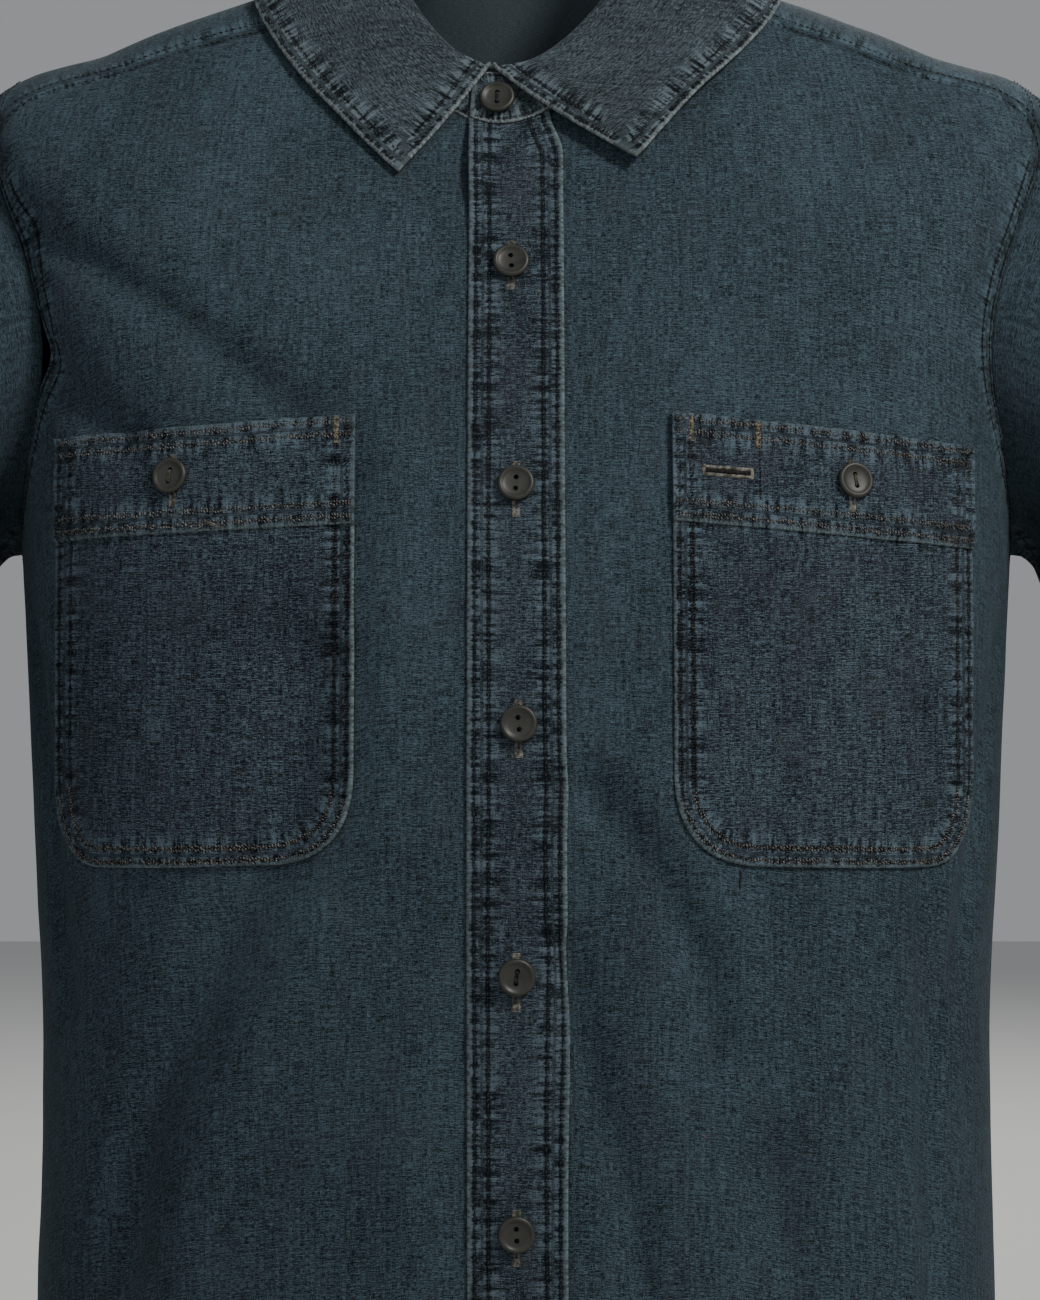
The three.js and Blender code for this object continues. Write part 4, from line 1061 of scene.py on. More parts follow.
# A chest pocket, drawn in the plane of the front and laid on the body. inner and top are its inner
# top corner, slope is how far its top edge falls towards the side of the body, and button is where
# its button is sewn.
class Pocket:
    def __init__(self, name, side, inner, top, slope, button):
        self.name = name
        self.side = side
        self.inner = inner
        self.outer = inner + POCKET_WIDTH
        self.top = top
        self.slope = slope
        self.button = button

    def top_at(self, x):
        return self.top - self.slope * (x - self.inner) / POCKET_WIDTH

    def ends(self, x):
        low = lambda share: POCKET_BOTTOM - POCKET_DROOP * share
        start = POCKET_BOTTOM + POCKET_CORNER
        outer_corner = POCKET_CORNER * 0.6
        s = np.sqrt(np.clip((x - self.inner) / POCKET_CORNER, 0, 1))
        q = np.sqrt(np.clip((self.outer - x) / outer_corner, 0, 1))
        inner_part = lerp(start, POCKET_BOTTOM, 2 * s - s * s) - POCKET_DROOP * 0.3 * s * s
        outer_part = (1 - q) ** 2 * start + 2 * q * (1 - q) * low(1) + q * q * low(0.8)
        first = self.inner + POCKET_CORNER
        last = self.outer - outer_corner
        middle = lerp(low(0.3), low(0.8), (x - first) / (last - first))
        return self.top_at(x), np.where(x < first, inner_part, np.where(x > last, outer_part, middle))

    def band_depth(self, x):
        return lerp(POCKET_BAND_IN, POCKET_BAND_OUT, (x - self.inner) / POCKET_WIDTH)

    # How far the folded top band stands off the rest of the pocket
    def band_rise(self, x, z):
        return POCKET_BAND_RISE * (1 - smooth(-0.2, 0.3, self.top_at(x) - z - self.band_depth(x)))

    def frame(self, x, z, lift):
        wanted = vec(self.side * x, 0, z)
        goal = wanted.copy()
        for _ in range(3):
            a, t = under(goal[..., 0], goal[..., 2])
            point, normal = on_body.frame(a, t)
            goal = goal + wanted - point - normal * lift
        return on_body.frame(a, t)

    # A line in the pocket's plane, as the points where it lies on the pocket
    def line(self, corners, step=2.0):
        corners = np.array([(x, z, 0.0) for x, z in corners], float)
        x, z, _ = evenly(corners, step).T
        point, normal = self.frame(x, z, ON_PANEL + WALL)
        lift = ON_PANEL + WALL + self.band_rise(x, z)
        return point + normal * lift[:, None], normal

    # The outline moved inwards, from the top inner corner round to the top outer corner
    def path(self, gap, top_gap=0.0):
        x = self.inner + POCKET_WIDTH * (1 - np.cos(np.linspace(0, np.pi, 90))) / 2
        _, bottom = self.ends(x)
        outline = np.vstack([
            [(self.inner, self.top)],
            np.stack([x, bottom], axis=1),
            [(self.outer, self.top - self.slope)],
        ])
        outline = evenly(np.hstack([outline, 0 * outline[:, :1]]), 2.0)[:, :2]
        tangent = np.gradient(outline, axis=0)
        tangent /= np.linalg.norm(tangent, axis=1, keepdims=True)
        inward = np.stack([-tangent[:, 1], tangent[:, 0]], axis=1)
        moved = outline + inward * gap
        inside = (moved[:, 0] > self.inner) & (moved[:, 0] < self.outer)
        return moved[inside & (moved[:, 1] < self.top_at(moved[:, 0]) - top_gap)]

    # A line across it, given by its depths below the top edge at both ends
    def across(self, gap_in, gap_out, trim=0.0):
        xs = np.array([self.inner + trim, self.outer - trim])
        top = self.top_at(xs)
        return [(xs[0], top[0] - gap_in), (xs[1], top[1] - gap_out)]

    # Dark thread down the sides and brown thread round the bottom
    def sew_outline(self, gap, phase):
        path = self.path(gap, 1.0)
        line, normals = self.line(path)
        heights = np.interp(np.linspace(0, 1, len(line)), np.linspace(0, 1, len(path)), path[:, 1])
        low = np.flatnonzero(heights < POCKET_BOTTOM + 24)
        parts = ((0, low[0] + 1, pocket_stitches), (low[0], low[-1] + 1, tan_stitches),
                 (low[-1], len(line), pocket_stitches))
        for start, end, stitches in parts:
            doubled_row(stitches, line[start:end], normals[start:end], phase)
        return line

    def make(self):
        x = self.inner + POCKET_WIDTH * close_ended(POCKET_WIDTH, 1.25)
        top, bottom = self.ends(x)
        fold = top - self.band_depth(x)
        above = close_ended(POCKET_BAND_IN, 1.3)[:, None]
        below = close_ended(self.top - POCKET_BOTTOM - POCKET_BAND_IN, 1.3)[1:, None]
        grid_z = np.vstack([top + (fold - top) * above, fold + (bottom - fold) * below])
        grid_x = x[None] + 0 * grid_z
        points, normals = self.frame(grid_x, grid_z, ON_PANEL + WALL)
        outline_rows = [self.sew_outline(gap, 0.4 * k) for k, gap in enumerate(POCKET_ROWS)]
        rows = []
        band_rows = [(gap, gap) for gap in POCKET_ROWS]
        band_rows += [(POCKET_BAND_IN - gap, POCKET_BAND_OUT - gap) for gap in FOLD_ROWS]
        for k, (gap_in, gap_out) in enumerate(band_rows):
            line, line_normals = self.line(self.across(gap_in, gap_out, 0.8))
            doubled_row(tan_stitches, line, line_normals, 0.31 * k)
            rows.append(line)
        rows += outline_rows
        edges = [self.line(self.across(0, 0))[0], self.line(self.path(0.01))[0]]
        flat = np.stack([grid_x * self.side + 400, grid_z], axis=-1)
        made = cloth(self.name, points, normals, flat, POCKET_DENIM, 21 + self.side, lift=ON_PANEL, rows=rows,
                     edges=edges, roll=0.28)
        step = self.band_rise(grid_x, grid_z)
        raise_band(made, step, normals, self.line(self.across(POCKET_BAND_IN, POCKET_BAND_OUT))[0], points)


# Lifts the folded top band of a pocket and wears its lower edge
def raise_band(made, step, normals, edge_line, points):
    count = step.size
    place = np.zeros(2 * count * 3, np.float32)
    made.data.vertices.foreach_get("co", place)
    place = place.reshape(-1, 3)
    place[:count] += (normals * step[..., None]).reshape(-1, 3) * MM
    made.data.vertices.foreach_set("co", place.ravel())
    edge = np.zeros(2 * count, np.float32)
    layer = made.data.attributes["edge"]
    layer.data.foreach_get("value", edge)
    distance, _ = beside_line(points + normals * (ON_PANEL + WALL), edge_line)
    above = np.where(step > 0.2, 0.7 * distance, 40)
    edge[:count] = np.minimum(edge[:count], above.ravel())
    layer.data.foreach_set("value", edge)


POCKET_RIGHT = Pocket("pocket_right", -1, 62.8, -192.5, 7.5, (134.0, -217.0))
POCKET_LEFT = Pocket("pocket_left", 1, 60.8, -191.2, 12.0, (131.0, -219.0))
POCKET_RIGHT.make()
POCKET_LEFT.make()


# Sleeves
def armhole_point(r):
    t = ARMHOLE_MIDDLE + ARMHOLE_HALF * np.cos(r)
    a = np.where(np.sin(r) >= 0, armhole_front(t), armhole_back(t))
    return body(a, t)


def ring_point(ring, r):
    out_x, out_z, in_x, in_z, mid_y, depth = table_row(SLEEVE, ring)
    out = np.cos(r)
    return vec((out_x + in_x) / 2 + (out_x - in_x) / 2 * out, mid_y - depth * np.sin(r),
               (out_z + in_z) / 2 + (out_z - in_z) / 2 * out)


def sleeve_form(r, ring):
    r, ring = same_shape(r, ring)
    point = ring_point(ring, r)
    fade = np.maximum(0, 1 - (ring / CAP_RINGS) ** 2) ** 2
    near = fade > 0
    if near.any():
        offset = armhole_point(r[near]) - ring_point(0 * r[near], r[near])
        point[near] += offset * fade[near][:, None]
    return point


# Keeps slopes off the sleeve's ends
def keep_on_sleeve(r, ring):
    return r, np.clip(ring, 0.05, SLEEVE_END - 0.05)


plain_sleeve = Surface(sleeve_form, 0.01, 0.05, keep_on_sleeve)
flat_sleeve_folds = [
    (height, width, [(rad(degrees) * SLEEVE_ARC, ring * SLEEVE_RING) for degrees, ring in points])
    for height, width, points in SLEEVE_FOLDS
]


def sleeve(r, ring):
    r, ring = same_shape(r, ring)
    turn = np.mod(r, 2 * np.pi)
    height = sum(
        fold_height(flat_sleeve_folds, (turn + shift) * SLEEVE_ARC, ring * SLEEVE_RING)
        for shift in (-2 * np.pi, 0, 2 * np.pi)
    )
    height = height + 0.6 * noise(np.cos(r) * 1.6 + ring * 0.3, np.sin(r) * 1.6 + ring * 0.9, 6)
    height = height * smooth(0.2, 2, ring) * smooth(SLEEVE_END, SLEEVE_END - 1, ring)
    point, normal = plain_sleeve.frame(r, ring)
    return point + normal * height[..., None]


on_sleeve = Surface(sleeve, 0.02, 0.05, keep_on_sleeve)


# How far the sleeve's first ring stands off the armhole's edge
def armhole_shift(r):
    t = ARMHOLE_MIDDLE + ARMHOLE_HALF * np.cos(r)
    a = np.where(np.sin(r) >= 0, armhole_front(t), armhole_back(t))
    panel_normal = on_body.normal(a, t)
    along = unit(armhole_point(r + 0.05) - armhole_point(r - 0.05))
    into = unit(np.cross(along, panel_normal))
    zero = np.zeros(1)
    centre = (ring_point(zero, zero) + ring_point(zero, zero + np.pi)) / 2
    way = np.sign(((centre - body(a, t)) * into).sum(-1, keepdims=True))
    into = into * np.where(way == 0, 1, way)
    normal = on_sleeve.normal(r, np.full_like(r, 0.3))
    clear = SLEEVE_SEAM_GAP + WALL * np.maximum(0, -(normal * into).sum(-1))
    return into * clear[:, None]


# A sleeve, split along its slit. Its grid starts at the slit and goes once round.
def sleeve_piece(name, side, seed):
    first = rad(SLIT_ROUND)
    r = first + np.arange(SLEEVE_COLUMNS) * 2 * np.pi / SLEEVE_COLUMNS
    rings = np.linspace(0, SLEEVE_END, SLEEVE_ROWS)
    grid_r, grid_ring = np.meshgrid(r, rings)
    points, normals = on_sleeve.frame(grid_r, grid_ring)
    points = points + armhole_shift(r)[None] * (1 - smooth(0, 0.8, rings))[:, None, None]
    flat = np.stack([SLEEVE_ARC * (grid_r - first), SLEEVE_RING * grid_ring], axis=-1)
    width = SLIT_HALF_WIDTH * np.maximum(rings - SLIT_FIRST_RING, 0) / (SLEEVE_END - SLIT_FIRST_RING)
    index = np.arange(grid_r.size).reshape(grid_r.shape)
    open_rows = np.flatnonzero(width > 0)
    turn = width[open_rows] / SLEEVE_ARC
    points[open_rows, 0], normals[open_rows, 0] = on_sleeve.frame(first + turn, rings[open_rows])
    far_points, far_normals = on_sleeve.frame(first - turn, rings[open_rows])
    far_flat = np.stack([2 * np.pi * SLEEVE_ARC + 0 * turn, SLEEVE_RING * rings[open_rows]], axis=1)
    last = index[:, :1].copy()
    last[open_rows, 0] = index.size + np.arange(len(open_rows))
    index = np.hstack([index, last])
    points = np.vstack([points.reshape(-1, 3), far_points])
    normals = np.vstack([normals.reshape(-1, 3), far_normals])
    flat = np.vstack([flat.reshape(-1, 2), far_flat])
    seam_ring = np.linspace(0.6, SLEEVE_END - 0.1, 130)
    under_arm = (rad(SLEEVE_SEAM_ROUND) + 0 * seam_ring, seam_ring)
    rows = double_rows(on_sleeve, under_arm, (rad(90), 8.0), SEAM_ROWS, side)
    slit_ring = np.linspace(SLIT_FIRST_RING, SLEEVE_END - 0.1, 40)
    slit = (first + 0 * slit_ring, slit_ring)
    for way in (-1, 1):
        rows += double_rows(on_sleeve, slit, (first + way * 0.6, 14.0), SLIT_ROWS, side)
    cuff_r = np.linspace(0, 2 * np.pi, 100)
    rows.append(stitched_line(on_sleeve, cuff_r, np.full_like(cuff_r, SLEEVE_END - 0.08), WALL)[0])
    made = cloth(name, points, normals, flat, BODY_DENIM, seed, side=side, rows=rows, index=index)


sleeve_piece("sleeve_right", -1, 31)
sleeve_piece("sleeve_left", 1, 32)

# Cuffs
end_ring = np.full(1, float(SLEEVE_END))
ring_centre = lambda ring: (ring_point(ring, np.zeros(1)) + ring_point(ring, np.full(1, np.pi)))[0] / 2
cuff_axis = unit(ring_centre(end_ring) - ring_centre(end_ring - 1))


def cuff(r, down):
    r, down = same_shape(r, down)
    return ring_point(np.full_like(r, float(SLEEVE_END)), r) + cuff_axis * (LAYER + down)[..., None]


on_cuff = Surface(cuff, 0.02, 1.0)


# How far the cuff's overlap lies above its start
def cuff_lift(turn):
    return (CUFF_WALL + LAYER) * smooth(300, 352, turn)


# A line round or down the cuff, for sew and stitched_line
def cuff_line(turn, down):
    turn, down = same_shape(turn, down)
    return rad(CUFF_START + turn), down, cuff_lift(turn) + CUFF_WALL


def cuff_piece(name, side, seed):
    turn = np.concatenate([[0, 0.25, 0.6, 1.1], np.linspace(2, 360 + CUFF_LAP - 2, 150),
                           360 + CUFF_LAP - np.array([1.1, 0.6, 0.25, 0])])
    down = CUFF_HEIGHT * close_ended(CUFF_HEIGHT, 2.0)
    grid_turn, grid_down = np.meshgrid(turn, down)
    points, normals = on_cuff.frame(rad(CUFF_START + grid_turn), grid_down)
    flat = np.stack([run_along(points, 1), grid_down], axis=-1)
    around = np.linspace(1, 360 + CUFF_LAP - 1, 180)
    along = np.linspace(0.5, CUFF_HEIGHT - 0.5, 30)
    row_lines = [(around, gap) for gap in (2.0, 7.0, CUFF_HEIGHT - 7.0, CUFF_HEIGHT - 2.0)]
    row_lines += [(360 + CUFF_LAP - 3.5, along)]
    edge_lines = [(360 + CUFF_LAP, along), (0, along), (around, 0), (around, CUFF_HEIGHT)]
    rows = [sew(band_stitches, on_cuff, *cuff_line(*line), side=side, **FAR) for line in row_lines]
    edges = [stitched_line(on_cuff, *cuff_line(*line))[0] for line in edge_lines]
    made = cloth(name, points, normals, flat, BAND_DENIM, seed, lift=cuff_lift(grid_turn), wall=CUFF_WALL,
                 side=side, rows=rows, edges=edges)


cuff_piece("cuff_right", -1, 41)
cuff_piece("cuff_left", 1, 42)


# Collar stand
def stand_base(a):
    rise = 2 * SEAM + WALL * np.maximum(0, on_body.normal(a, np.full_like(a, NECK - 0.05))[..., 2])
    return body(a, np.full_like(a, NECK)) + vec(0 * a, 0, rise)


def stand_top(a):
    base = stand_base(a)
    front = np.cos(a)
    lean = STAND_LEAN - 0.07 - 0.07 * front
    height = (STAND_BACK + STAND_FRONT) / 2 - (STAND_BACK - STAND_FRONT) / 2 * front
    return vec(base[..., 0] * STAND_LEAN, base[..., 1] * lean, base[..., 2] + height)


def stand(a, share):
    a, share = same_shape(a, share)
    return stand_base(a) + (stand_top(a) - stand_base(a)) * share[..., None]


on_stand = Surface(stand, 0.02, 0.05)
neck_t = np.full(1, NECK)
STAND_UNDER_END = np.degrees(angle_at(band_right(neck_t) - PANEL_OVERLAP - SEAM - LAYER, neck_t))[0]
STAND_OVER_END = np.degrees(angle_at(np.full(1, BAND_LEFT), neck_t))[0] - 360


# How far the stand's overlap lies above its start
def stand_lift(degrees):
    return ON_PANEL * smooth(-322, -347, degrees)


def stand_top_share(degrees):
    end = np.minimum(STAND_UNDER_END - degrees, degrees - STAND_OVER_END)
    away = np.clip(end / 9, 0, 1)
    return 0.6 + 0.4 * np.sqrt(1 - (1 - away) ** 2)


# A line round or up the stand, for sew and stitched_line
def stand_line(degrees, share):
    degrees, share = same_shape(degrees, share)
    return rad(degrees), share, stand_lift(degrees) + WALL


# A span of values with a few close ones at both ends
def close_span(start, end, count, close):
    way = np.sign(end - start)
    near = np.array(close) * way
    return np.concatenate([start + near, np.linspace(start + 1.6 * way, end - 1.6 * way, count),
                           (end - near)[::-1]])


degrees = close_span(STAND_UNDER_END, STAND_OVER_END, 260, [0, 0.2, 0.5, 1.0])
up = close_ended(STAND_WIDTH, 1.5)
grid_degrees, grid_up = np.meshgrid(degrees, up)
grid_up = grid_up * stand_top_share(grid_degrees)
points, normals = on_stand.frame(rad(grid_degrees), grid_up)
flat = np.stack([NECK_ARC * grid_degrees, STAND_WIDTH * grid_up], axis=-1)
line_degrees = np.linspace(STAND_UNDER_END - 1, STAND_OVER_END + 1, 260)
line_top = stand_top_share(line_degrees)
rows = [sew(collar_stitches, on_stand, *stand_line(line_degrees, share * line_top), **STAND_STITCH)
        for share in (0.06, 0.93)]
end_share = np.linspace(0, 0.6, 12)
edge_lines = [(line_degrees, 0 * line_top), (line_degrees, line_top)]
edge_lines += [(end, end_share) for end in (STAND_UNDER_END, STAND_OVER_END)]
edges = [stitched_line(on_stand, *stand_line(*line))[0] for line in edge_lines]
made = cloth("collar_stand", points, normals, flat, COLLAR_DENIM, 51, lift=stand_lift(grid_degrees),
             rows=rows, edges=edges)


# Collar leaf
# How far the leaf's points stand off the body. way runs from -1 to 1 round the collar.
def leaf_spring(way):
    return LEAF_SPRING * smooth(0.68, 0.95, way)


def leaf_edge(way):
    reach = np.abs(way)
    spread = np.minimum(0.06, 1 - reach)
    steps = [np.clip(reach + spread * k, 0, 1) for k in (-1, -0.6, -0.2, 0.2, 0.6, 1)]
    a = sum(np.interp(s, LEAF_EDGE[:, 0], LEAF_EDGE[:, 1]) for s in steps) / 6 * np.where(way < 0, -1, 1)
    t = sum(np.interp(s, LEAF_EDGE[:, 0], LEAF_EDGE[:, 2]) for s in steps) / 6 + LEAF_SKEW * way
    point, normal = on_body.frame(rad(a), t)
    return point + normal * (LEAF_CLEARANCE + leaf_spring(way))[..., None]


def leaf(way, share):
    way, share = same_shape(way, share)
    top = on_stand.place(rad(LEAF_FRONT - 180 * (way + 1)), np.ones_like(way))
    out = unit(vec(top[..., 0] / LEAF_HALF_WIDTH ** 2, top[..., 1] / LEAF_HALF_DEPTH ** 2, 0))
    roll = smooth(1, 0.92, np.abs(way))[..., None]
    up = np.array([0.0, 0.0, 1.0])
    p0 = top + up * (LAYER + 0.25)
    p1 = top + out * 1.5 + up * 8
    p2 = top + out * (7.6 + roll + 0.7 * leaf_spring(way)[..., None]) - up * 3
    p3 = leaf_edge(way)
    s = share[..., None]
    q = 1 - s
    return q ** 3 * p0 + 3 * q * q * s * p1 + 3 * q * s * s * p2 + s ** 3 * p3


def keep_on_leaf(way, share):
    return np.clip(way, -0.995, 0.995), np.clip(share, 0.01, 0.99)


on_leaf = Surface(leaf, 0.004, 0.01, keep_on_leaf)
LEAF_DEPTH = 58.0
LEAF_ROWS = (1.8, 6.2)
ways = np.unique(np.concatenate([[-1, -0.9989, -0.9974, -0.995, -0.992], np.linspace(-0.988, 0.988, 290),
                                 [0.992, 0.995, 0.9974, 0.9989, 1]]))
share = close_ended(LEAF_DEPTH, 1.5, first=False)
grid_way, grid_share = np.meshgrid(ways, share)
points, normals = on_leaf.frame(grid_way, grid_share)
flat = np.stack([run_along(points, 1), run_along(points, 0)], axis=-1)
edge_way = np.linspace(-1, 1, 260)
front_share = np.linspace(0.12, 1, 40)
edges = [stitched_line(on_leaf, edge_way, np.ones_like(edge_way), WALL)[0]]
row_lines = [(np.linspace(-0.985, 0.985, 240), np.full(240, 0.999), gap, (0, 0.6)) for gap in LEAF_ROWS]
for way in (-1, 1):
    edges.append(stitched_line(on_leaf, way + 0 * front_share, front_share, WALL)[0])
    for gap in LEAF_ROWS:
        inner_share = np.linspace(0.2, 0.965 - gap * 0.012, 40)
        row_lines.append((way * 0.9995 + 0 * inner_share, inner_share, gap, (0.5 * way, 0.7)))
rows = [sew(collar_stitches, on_leaf, *on_leaf.inset(*line), WALL, phase=line[2], **FINE)
        for line in row_lines]
made = cloth("collar_leaf", points, normals, flat, COLLAR_DENIM, 61, rows=rows, edges=edges, pucker=1.25,
             roll=0.3)


# Buttons: dished, with a raised rim and two holes one above the other
def button_mesh():
    profile = [(0, 0), (BUTTON_RADIUS - 1.3, 0), (BUTTON_RADIUS - 0.6, 0.25), (BUTTON_RADIUS - 0.12, 0.85),
               (BUTTON_RADIUS, 1.5), (BUTTON_RADIUS - 0.15, 2.1), (BUTTON_RADIUS - 0.6, 2.55),
               (BUTTON_RADIUS - 1.15, 2.7), (BUTTON_RADIUS - 1.6, 2.5), (BUTTON_RADIUS - 2.0, 2.12),
               (BUTTON_RADIUS - 2.7, 1.86), (BUTTON_RADIUS - 3.8, 1.68), (1.8, 1.6), (0, 1.58)]
    sides = 48
    turn = np.arange(sides) * 2 * np.pi / sides
    points = [(0.0, 0.0, profile[0][1])]
    for radius, height in profile[1:-1]:
        points += [(radius * np.cos(b), radius * np.sin(b), height) for b in turn]
    points.append((0.0, 0.0, profile[-1][1]))
    faces = [(0, 1 + (k + 1) % sides, 1 + k) for k in range(sides)]
    for ring in range(len(profile) - 3):
        start = 1 + ring * sides
        for k in range(sides):
            n = (k + 1) % sides
            faces.append((start + k, start + n, start + sides + n, start + sides + k))
    start = 1 + (len(profile) - 3) * sides
    faces += [(start + k, start + (k + 1) % sides, len(points) - 1) for k in range(sides)]
    mesh = bpy.data.meshes.new("button_blank")
    mesh.from_pydata([tuple(MM * c for c in p) for p in points], [], faces)
    blank = bpy.data.objects.new("button_blank", mesh)
    bpy.context.scene.collection.objects.link(blank)
    cutters = []
    for way in (-1, 1):
        bpy.ops.mesh.primitive_cylinder_add(vertices=20, radius=HOLE_RADIUS * MM, depth=8 * MM,
                                            location=(0, way * HOLE_SPACING / 2 * MM, 0))
        cutters.append(bpy.context.object)
        cut = blank.modifiers.new("hole", "BOOLEAN")
        cut.operation = "DIFFERENCE"
        cut.solver = "EXACT"
        cut.object = cutters[-1]
    bpy.context.view_layer.update()
    evaluated = blank.evaluated_get(bpy.context.evaluated_depsgraph_get())
    result = bpy.data.meshes.new_from_object(evaluated)
    for o in [blank, *cutters]:
        bpy.data.objects.remove(o)
    result.materials.clear()
    result.materials.append(BUTTON)
    result.shade_smooth()
    result.set_sharp_from_angle(angle=rad(50))
    return result


BUTTON_MESH = button_mesh()
UP = np.array([0.0, 0.0, 1.0])


# A button with its back at a point, its holes along the up way
def add_button(name, point, normal, up_way, slot_turn=0.0, threads=None):
    right = unit(np.cross(up_way, normal))
    top = np.cross(normal, right)
    turn = rad(slot_turn)
    right, top = right * np.cos(turn) + top * np.sin(turn), top * np.cos(turn) - right * np.sin(turn)
    basis = np.stack([right, top, normal], axis=1)
    mesh = BUTTON_MESH.copy()
    matrix = Matrix.Translation(Vector(point * MM)) @ Matrix(basis.tolist()).to_4x4()
    mesh.transform(matrix)
    made = bpy.data.objects.new(name, mesh)
    bpy.context.scene.collection.objects.link(made)
    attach(made, "root")
    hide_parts(name)
    if threads is None:
        return
    strand = np.linspace(-HOLE_SPACING / 2 - 0.25, HOLE_SPACING / 2 + 0.25, 9)
    sag = 1.62 + 0.34 * (1 - (strand / (HOLE_SPACING / 2 + 0.25)) ** 4) - 0.5 * (np.abs(strand) > 2.3)
    for shift in (-0.42, 0.0, 0.42):
        line = point + np.outer(strand, basis[:, 1]) + np.outer(sag, basis[:, 2]) + basis[:, 0] * shift
        threads.strand(line, basis[:, 2], 0.2)


button_threads = Stitching()
pocket_button_threads = Stitching()
buttonholes = Stitching()
tack_stitches = Stitching()
slit_threads = Stitching()


# A buttonhole: two close rows of stitches and a bar at each end
def buttonhole(line, normals, half, seed):
    tangent = unit(np.gradient(line, axis=0))
    across = unit(np.cross(tangent, normals))
    for way in (-1, 1):
        buttonholes.bars(line + across * way * half * 0.62, normals, half * 0.5, 0.52, 0.17, seed=seed + way)
    for end, start in ((line[:3], 0), (line[-3:], 3)):
        buttonholes.bars(end + normals[:3] * 0.1, normals[:3], half * 1.05, 0.45, 0.18, seed=seed + start)


# How far the buttonholes reach above and below their buttons, and half their width
HOLE_ABOVE = 9.2
HOLE_BELOW = (11.0, 12.8, 13.0, 13.2, 12.6, 12.4)
HOLE_HALF = 1.5
POCKET_HOLE_BELOW = 11.5
POCKET_HOLE_HALF = 1.4

# How many degrees each button is turned, and the front button whose thread shows
FRONT_BUTTON_TURNS = (4, -3, 6, -8, 3, -4)
POCKET_BUTTON_TURN = 5
THREADED_BUTTON = 3
wide_body = Surface(body, 0.04, 0.12)


# The body's angles and sections at one X and several heights
def body_place(x, z):
    x = np.full(len(z), float(x))
    t = section_at(angle_at(x, np.full(len(z), 4.0)), z)
    return angle_at(x, t), t


def body_button(name, x, z, gap, slot_turn, threads=None):
    point, normal = wide_body.frame(*body_place(x, np.full(1, float(z))))
    add_button(name, point[0] + normal[0] * (ON_BAND + gap), normal[0], UP, slot_turn, threads)


for i, (x, z) in enumerate(FRONT_BUTTONS):
    body_button(f"button_front_{i + 1}", x, z, BUTTON_GAP, FRONT_BUTTON_TURNS[i],
                button_threads if i == THREADED_BUTTON else None)
    hole_z = np.linspace(z - HOLE_BELOW[i], z + HOLE_ABOVE, 15)
    a, t = body_place(x, hole_z)
    line, line_normals = stitched_line(on_body, a, t, ON_PANEL + WALL)
    buttonhole(line, line_normals, HOLE_HALF, 70 + i)

for pocket in (POCKET_RIGHT, POCKET_LEFT):
    x, z = pocket.button
    body_button(f"button_{pocket.name}", pocket.side * x, z, POCKET_BUTTON_GAP,
                POCKET_BUTTON_TURN * pocket.side, pocket_button_threads)
    line, line_normals = pocket.line([(x, z - POCKET_HOLE_BELOW), (x, z + HOLE_ABOVE)], 1.5)
    buttonhole(line, line_normals, POCKET_HOLE_HALF, 80 + pocket.side)

button_degrees, button_share = COLLAR_BUTTON
angle = np.full(1, rad(button_degrees))
point, normal = on_stand.frame(angle, np.full(1, button_share))
middle_normal = on_stand.normal(angle, np.full(1, 0.5))[0]
add_button("button_collar", (point + normal * (ON_BAND + BUTTON_GAP))[0], middle_normal, UP,
           threads=button_threads)

for name, side in (("button_cuff_right", -1), ("button_cuff_left", 1)):
    r = np.full(1, rad(CUFF_START + CUFF_LAP / 2))
    point, normal = on_cuff.frame(r, np.full(1, CUFF_HEIGHT / 2))
    lift = 2 * CUFF_WALL + LAYER + BUTTON_GAP + 0.25
    mirror = np.array([side, 1.0, 1.0])
    add_button(name, (point + normal * lift)[0] * mirror, normal[0] * mirror, -cuff_axis * mirror,
               threads=button_threads)

# Bartacks at the pocket corners and at the top of the pen slot's divider
TACK = 7.2
TACK_START = 0.6
TACK_END = 11.0
DIVIDER = 33.5
for pocket, tacks in ((POCKET_RIGHT, [TACK]), (POCKET_LEFT, [TACK, DIVIDER])):
    for k, in_from in enumerate(tacks):
        x = pocket.inner + in_from
        top = pocket.top_at(x)
        line, line_normals = pocket.line([(x, top - TACK_START), (x, top - TACK_END)], 1.0)
        tack_stitches.bars(line, line_normals, 1.15, 0.5, 0.24, lift=0.24, seed=90 + k)

# The pen slot, a dark slit in a frame of tan thread, and the divider sewn down beside it
SLOT_IN = 11.6
SLOT_LENGTH = 19.6
SLOT_DEPTH = 21.6
SLOT_HEIGHT = 3.0
SLOT_FALL = 1.5
DIVIDER_START = 11.5
DIVIDER_LENGTH = 21.0
slot_z = POCKET_LEFT.top - SLOT_DEPTH
slot_from = POCKET_LEFT.inner + SLOT_IN
slot_to = slot_from + SLOT_LENGTH


def slot_bars(stitches, start, end, half, pitch, radius, lift, seed):
    line, line_normals = POCKET_LEFT.line([start, end], 1.0)
    stitches.bars(line, line_normals, half, pitch, radius, lift=lift, seed=seed)


